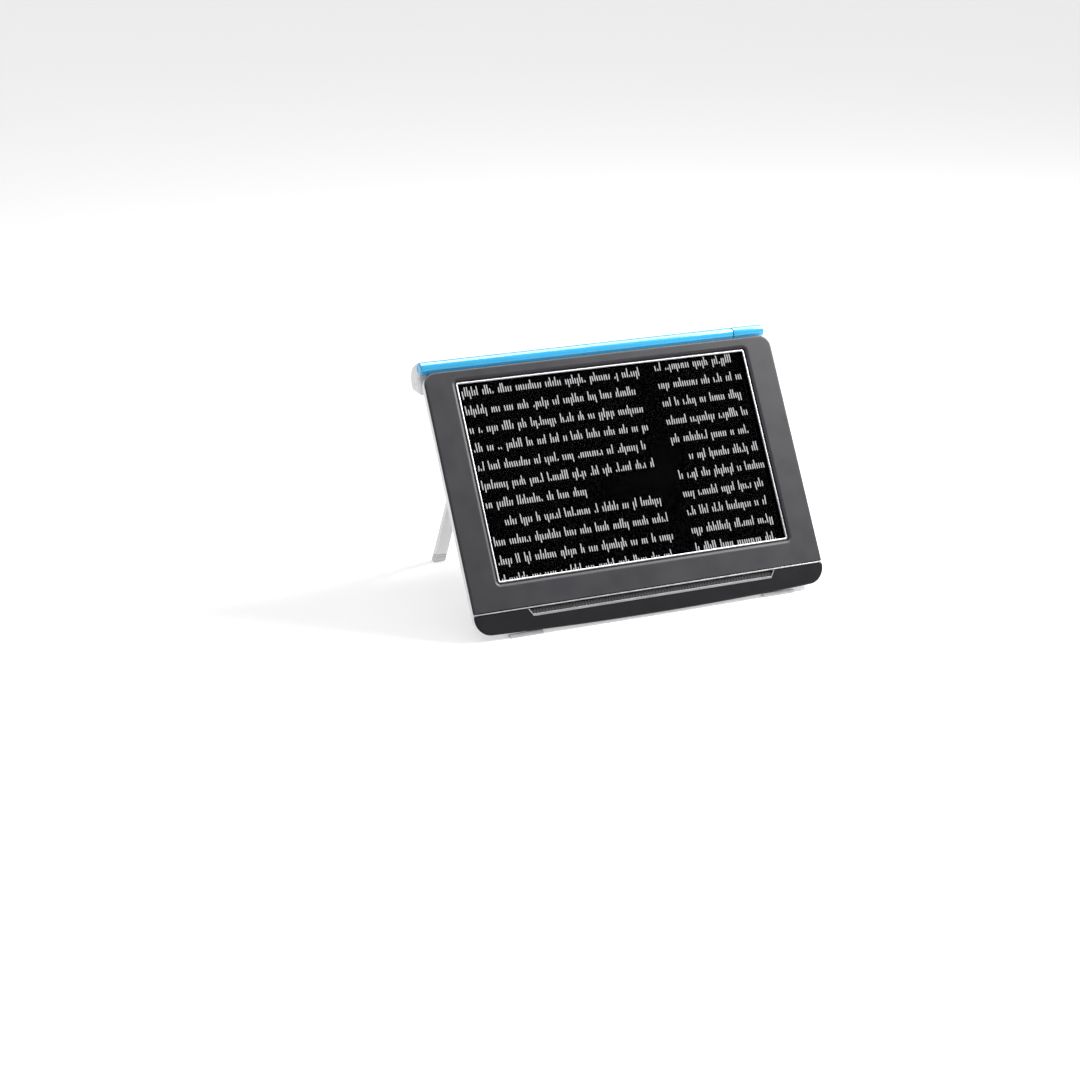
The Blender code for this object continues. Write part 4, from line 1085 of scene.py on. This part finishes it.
def arm_ring(front, back, end_inset):
    """A slice through the arm: each edge of it as (depth, height). Its right end goes round the pivot."""
    left = HOUSING[0].x + end_inset
    middle = (front[0] + back[0]) / 2
    half = (back[0] - front[0]) / 2
    reach = min(half, ARM_BACK - PIVOT.y) - end_inset
    points = [(PIVOT.x + reach * a, middle + half * b) for a, b in arc(0, 0, 1, -90, 180, 16)]
    for y, start in ((back[0] - ARM_CORNER, 90), (front[0] + ARM_CORNER, 180)):
        points += arc(left + ARM_CORNER, y, ARM_CORNER, start, 90, 8)
    slope = (back[1] - front[1]) / (back[0] - front[0])
    return [(x, y, front[1] + slope * (y - front[0])) for x, y in points]


def arm_levels():
    """The arm's slices from its underside to its crown, past the seam and the shelf over the casing."""
    low, high = HOUSING
    rear_low = low.z + ARM_RISE
    web = low.y
    shelf = TOP + GAP
    top = high.z
    seam = 0.25
    rows = (
        # front edge's depth and height, then in mm: back edge in from the back, its rise, ends' inset
        (ARM_FRONT + 0.5 * MM, low.z + 0.3 * MM, 0.9, -0.1, 0.5),
        (ARM_FRONT + 0.1 * MM, low.z + 0.4 * MM, 0.3, 0.5, 0.15),
        (ARM_FRONT, low.z + 0.9 * MM, 0, 1.5, 0),
        (ARM_FRONT, low.z + 8 * MM, 0, 3.4, 0),
        (ARM_FRONT, low.z + 8.2 * MM, seam, 3.5, seam),
        (ARM_FRONT, low.z + 8.4 * MM, seam, 3.8, seam),
        (ARM_FRONT, low.z + 8.6 * MM, 0.05, 3.9, 0),
        (ARM_FRONT, shelf - 0.1 * MM, 0.25, 5.6, 0),
        (ARM_FRONT, shelf, 0.6, 6.8, 0),
        (web + 0.2 * MM, shelf, 1, 7.6, 0),
        (web, shelf + 0.2 * MM, 1.2, 8, 0),
        (web, shelf + 5 * MM, 2.6, 10, 0.2),
        (web, top - 1.4 * MM, 4.6, 11.8, 0.5),
        (web + 0.35 * MM, top - 0.5 * MM, 6.6, 12.9, 0.9),
        (web + 1.1 * MM, top - 0.1 * MM, 8.6, 13.5, 1.5),
        (web + 2 * MM, top, 10.2, (top - rear_low) / MM - 0.1, 2.2),
    )
    for y, z, inward, rise, inset in rows:
        yield arm_ring((y, z), (ARM_BACK - inward * MM, rear_low + rise * MM), inset * MM)


def make_arm_housing():
    low, high = HOUSING
    arm_floor = WASHER[1].z + GAP
    boss_room = 8 * MM
    notch = block(
        (PIVOT.x - boss_room, low.y - THROUGH, low.z - THROUGH),
        (PIVOT.x + 2 * boss_room, high.y + THROUGH, arm_floor),
    )
    hole = rod(PIN_BORE, at_pivot(arm_floor - THROUGH), at_pivot(PIN[1].z + GAP))
    cover_low, cover_high = box_in("arm_cover", WINDOW)
    pocket = block(
        (cover_low.x - GAP, cover_low.y - GAP, cover_low.z - 2 * THROUGH),
        (cover_high.x + GAP, cover_high.y + GAP, 8 * MM),
    )
    pocket.transform(TABLET.inverted() @ WINDOW)
    shape = carve(loft(list(arm_levels())), notch, hole, pocket)
    piece("arm_casing", shape, "camera_arm", "white_plastic", ["arm_housing"])


def underside_outline(low, high, grow, corner):
    """A node's box seen on the arm's underside, grown by a distance."""
    return outline(low.x - grow, high.x + grow, low.y - grow, high.y + grow, corner)


def stacked(points, *heights):
    return [[(x, y, z) for x, y in points] for z in heights]


def make_arm_windows():
    """The cover strip under the arm, its camera eye and its two light windows."""
    low, high = box_in("arm_cover", WINDOW)
    eye_low, eye_high = box_in("arm_camera_window", WINDOW)
    eye_radius = (eye_high.x - eye_low.x) / 2
    rim = 0.3 * MM
    corner = 2 * MM
    rings = stacked(underside_outline(low, high, -rim, corner - rim), low.z)
    rings += stacked(underside_outline(low, high, 0, corner), low.z + rim, high.z)
    cutters = [rod(eye_radius + GAP, (0, 0, low.z - THROUGH), (0, 0, high.z + THROUGH))]
    for name in ("left", "right"):
        node = f"arm_led_window_{name}"
        led = box_in(node, WINDOW)
        hole = underside_outline(*led, 0.2 * MM, 1.2 * MM)
        cutters.append(loft(stacked(hole, low.z - THROUGH, high.z + THROUGH)))
        pane = loft(stacked(underside_outline(*led, 0, 1 * MM), led[0].z, led[1].z))
        slot = "frosted_window"
        piece(f"arm_light_{name}", pane, "camera_arm", slot, [node], WINDOW, rounding=0.15 * MM)
    shape = carve(loft(rings), *cutters)
    piece("arm_window_strip", shape, "camera_arm", "inner_plastic", ["arm_cover"], WINDOW)
    place = Matrix.Translation((0, 0, eye_low.z))
    eye = disc(eye_radius, eye_high.z - eye_low.z, 0.15 * MM, place)
    piece("arm_eye", eye, "camera_arm", "lens_glass", ["arm_camera_window"], WINDOW)


def rail_piece(name, node, body, left_round, right_round):
    """A length of the glossy rail with rounded ends, each with a shallow ring on its face."""
    low, high = local(node)
    radius = (high.z - low.z) / 2 - 0.01 * MM
    length = high.x - low.x
    hollow = 0.25 * MM
    ring = (radius * 0.55, radius * 0.62)
    profile = [(ring[0], hollow), (ring[1], 0)]
    profile += [(radius - under, inset) for inset, under in quarter(left_round, RIM_STEPS)]
    right = [(radius - under, length - inset) for inset, under in quarter(right_round, RIM_STEPS)]
    profile += [*reversed(right), (ring[1], length), (ring[0], length - hollow)]
    place = along((low.x, (low.y + high.y) / 2, (low.z + high.z) / 2), (1, 0, 0))
    piece(name, turned(profile, place), body, "blue_gloss", [node])


def make_rails():
    rail_piece("rail", "blue_rail", "camera_arm", 1.2 * MM, 0.3 * MM)
    rail_piece("rail_cap", "blue_hinge_cap", "tablet", 0.3 * MM, 1.2 * MM)


def make_arm_hinge():
    """The bracket with its foot, web and boss, the pin that stands in it and the washer over it."""
    low, high = BRACKET
    plate_back = low.y + 2.4 * MM
    half_web = 6.5 * MM
    boss_radius = ARM_BACK - PIVOT.y - GAP
    boss_low = low.z + 4 * MM
    foot_top = local("bracket_screw_2")[1].z + 2 * MM
    foot = block(low, (PIVOT.x + half_web, plate_back, foot_top))
    web = block((PIVOT.x - half_web, low.y, boss_low), (PIVOT.x + half_web, PIVOT.y, high.z))
    boss = rod(boss_radius, at_pivot(boss_low), at_pivot(high.z), 0.6 * MM)
    cutters = []
    for node in BRACKET_SCREWS:
        middle, half = centre_and_half(node)
        start = (middle.x, plate_back - 0.9 * MM, middle.z)
        cutters.append(rod(half.x + 0.2 * MM, start, (middle.x, plate_back + THROUGH, middle.z)))
        cutters.append(rod(1.5 * MM, (middle.x, low.y - THROUGH, middle.z), start))
    cutters.append(rod(PIN_BORE, at_pivot(PIN[0].z - GAP), at_pivot(high.z + THROUGH)))
    shape = carve(fuse(foot, web, boss), *cutters)
    piece("arm_bracket", shape, "tablet", "white_plastic", ["arm_hinge_bracket"])
    pin = rod(PIN_RADIUS, at_pivot(PIN[0].z), at_pivot(PIN[1].z), 0.4 * MM)
    piece("hinge_pin", pin, "tablet", "hinge_steel", ["arm_hinge_pin"])
    thickness = WASHER[1].z - WASHER[0].z
    outer = (WASHER[1].x - WASHER[0].x) / 2
    edge = 0.12 * MM
    profile = (
        (PIN_BORE, 0),
        (outer - edge, 0),
        (outer, edge),
        (outer, thickness - edge),
        (outer - edge, thickness),
        (PIN_BORE, thickness),
    )
    ring = turned(profile, Matrix.Translation(at_pivot(WASHER[0].z)), closed=True)
    piece("hinge_washer", ring, "tablet", "hinge_steel", ["arm_hinge_washer"])


# ---- inner pieces
INNER = {
    "display": ("lcd_panel",),
    "cast_aluminium": ("mid_frame", "heat_spreader"),
    "circuit_board": ("main_board", "button_board", "arm_board"),
    "battery_wrap": ("battery_pack",),
    "inner_plastic": ("speaker_left", "speaker_right", "rear_camera", "arm_camera"),
}


def finish_inner_pieces():
    """The pieces inside keep their solids and get their own materials."""
    for slot, nodes in INNER.items():
        for node in nodes:
            mesh = NODES[node].data
            mesh.materials.clear()
            mesh.materials.append(FINISHES[slot])


# ---- studio
def make_floor():
    finish = Finish("floor", (0.8, 0.8, 0.8), 0.6).mottle(0.4, 0.004)
    finish.set({"Specular IOR Level": 0.1, "Emission Color": (1, 1, 1, 1), "Emission Strength": 0.22})
    shape = bmesh.new()
    bmesh.ops.create_grid(shape, x_segments=2, y_segments=2, size=12)
    floor = added("floor", as_mesh("floor", shape))
    floor.data.materials.append(finish.material)
    floor.location.z = -0.05 * MM


def make_lamp(name, place, target, size, power):
    lamp = bpy.data.lights.new(name, "AREA")
    lamp.shape = "RECTANGLE"
    lamp.size, lamp.size_y = size
    lamp.energy = power
    obj = added(name, lamp)
    obj.location = place
    obj.visible_transmission = False
    obj.rotation_euler = (Vector(target) - Vector(place)).to_track_quat("-Z", "Y").to_euler()
    return obj


def make_light():
    world = bpy.data.worlds.new("studio")
    world.use_nodes = True
    sky = world.node_tree.nodes["Background"]
    sky.inputs["Color"].default_value = (1, 1, 1, 1)
    sky.inputs["Strength"].default_value = 0.75
    bpy.context.scene.world = world
    make_lamp("overhead", (-0.2, 0, 1.4), (0, 0, 0.1), (1.6, 1.2), 3)
    make_lamp("right", (0.95, -0.3, 0.85), (0.1, 0, 0.12), (0.5, 0.5), 27)
    sheen = make_lamp("sheen", (0, 0.15, 1.3), (0, 0, 0.15), (2.2, 1.1), 66)
    sheen.visible_diffuse = False


def make_camera():
    lens = bpy.data.cameras.new("camera")
    lens.lens = 83.33
    lens.sensor_width = 36
    lens.clip_end = 50
    camera = added("camera", lens)
    camera.location = TABLET.translation + Vector((-0.736, -1.442, 0.4798))
    azimuth = math.radians(25)
    elevation = math.radians(18.3)
    look = Vector((
        math.sin(azimuth) * math.cos(elevation),
        math.cos(azimuth) * math.cos(elevation),
        -math.sin(elevation),
    ))
    camera.rotation_euler = look.to_track_quat("-Z", "Y").to_euler()
    bpy.context.scene.camera = camera


bpy.context.scene.view_settings.view_transform = "Standard"
make_camera()
make_light()
make_floor()
make_bezel()
make_trim()
make_glass()
make_chin()
make_chin_line()
make_slot_edge()
make_grille()
make_marks()
make_shell()
make_battery_cover()
make_buttons()
make_usb()
make_audio()
make_screws()
make_windows()
make_base_feet()
make_legs()
make_stand_brackets()
make_arm_housing()
make_arm_windows()
make_rails()
make_arm_hinge()
finish_inner_pieces()

bpy.context.view_layer.update()
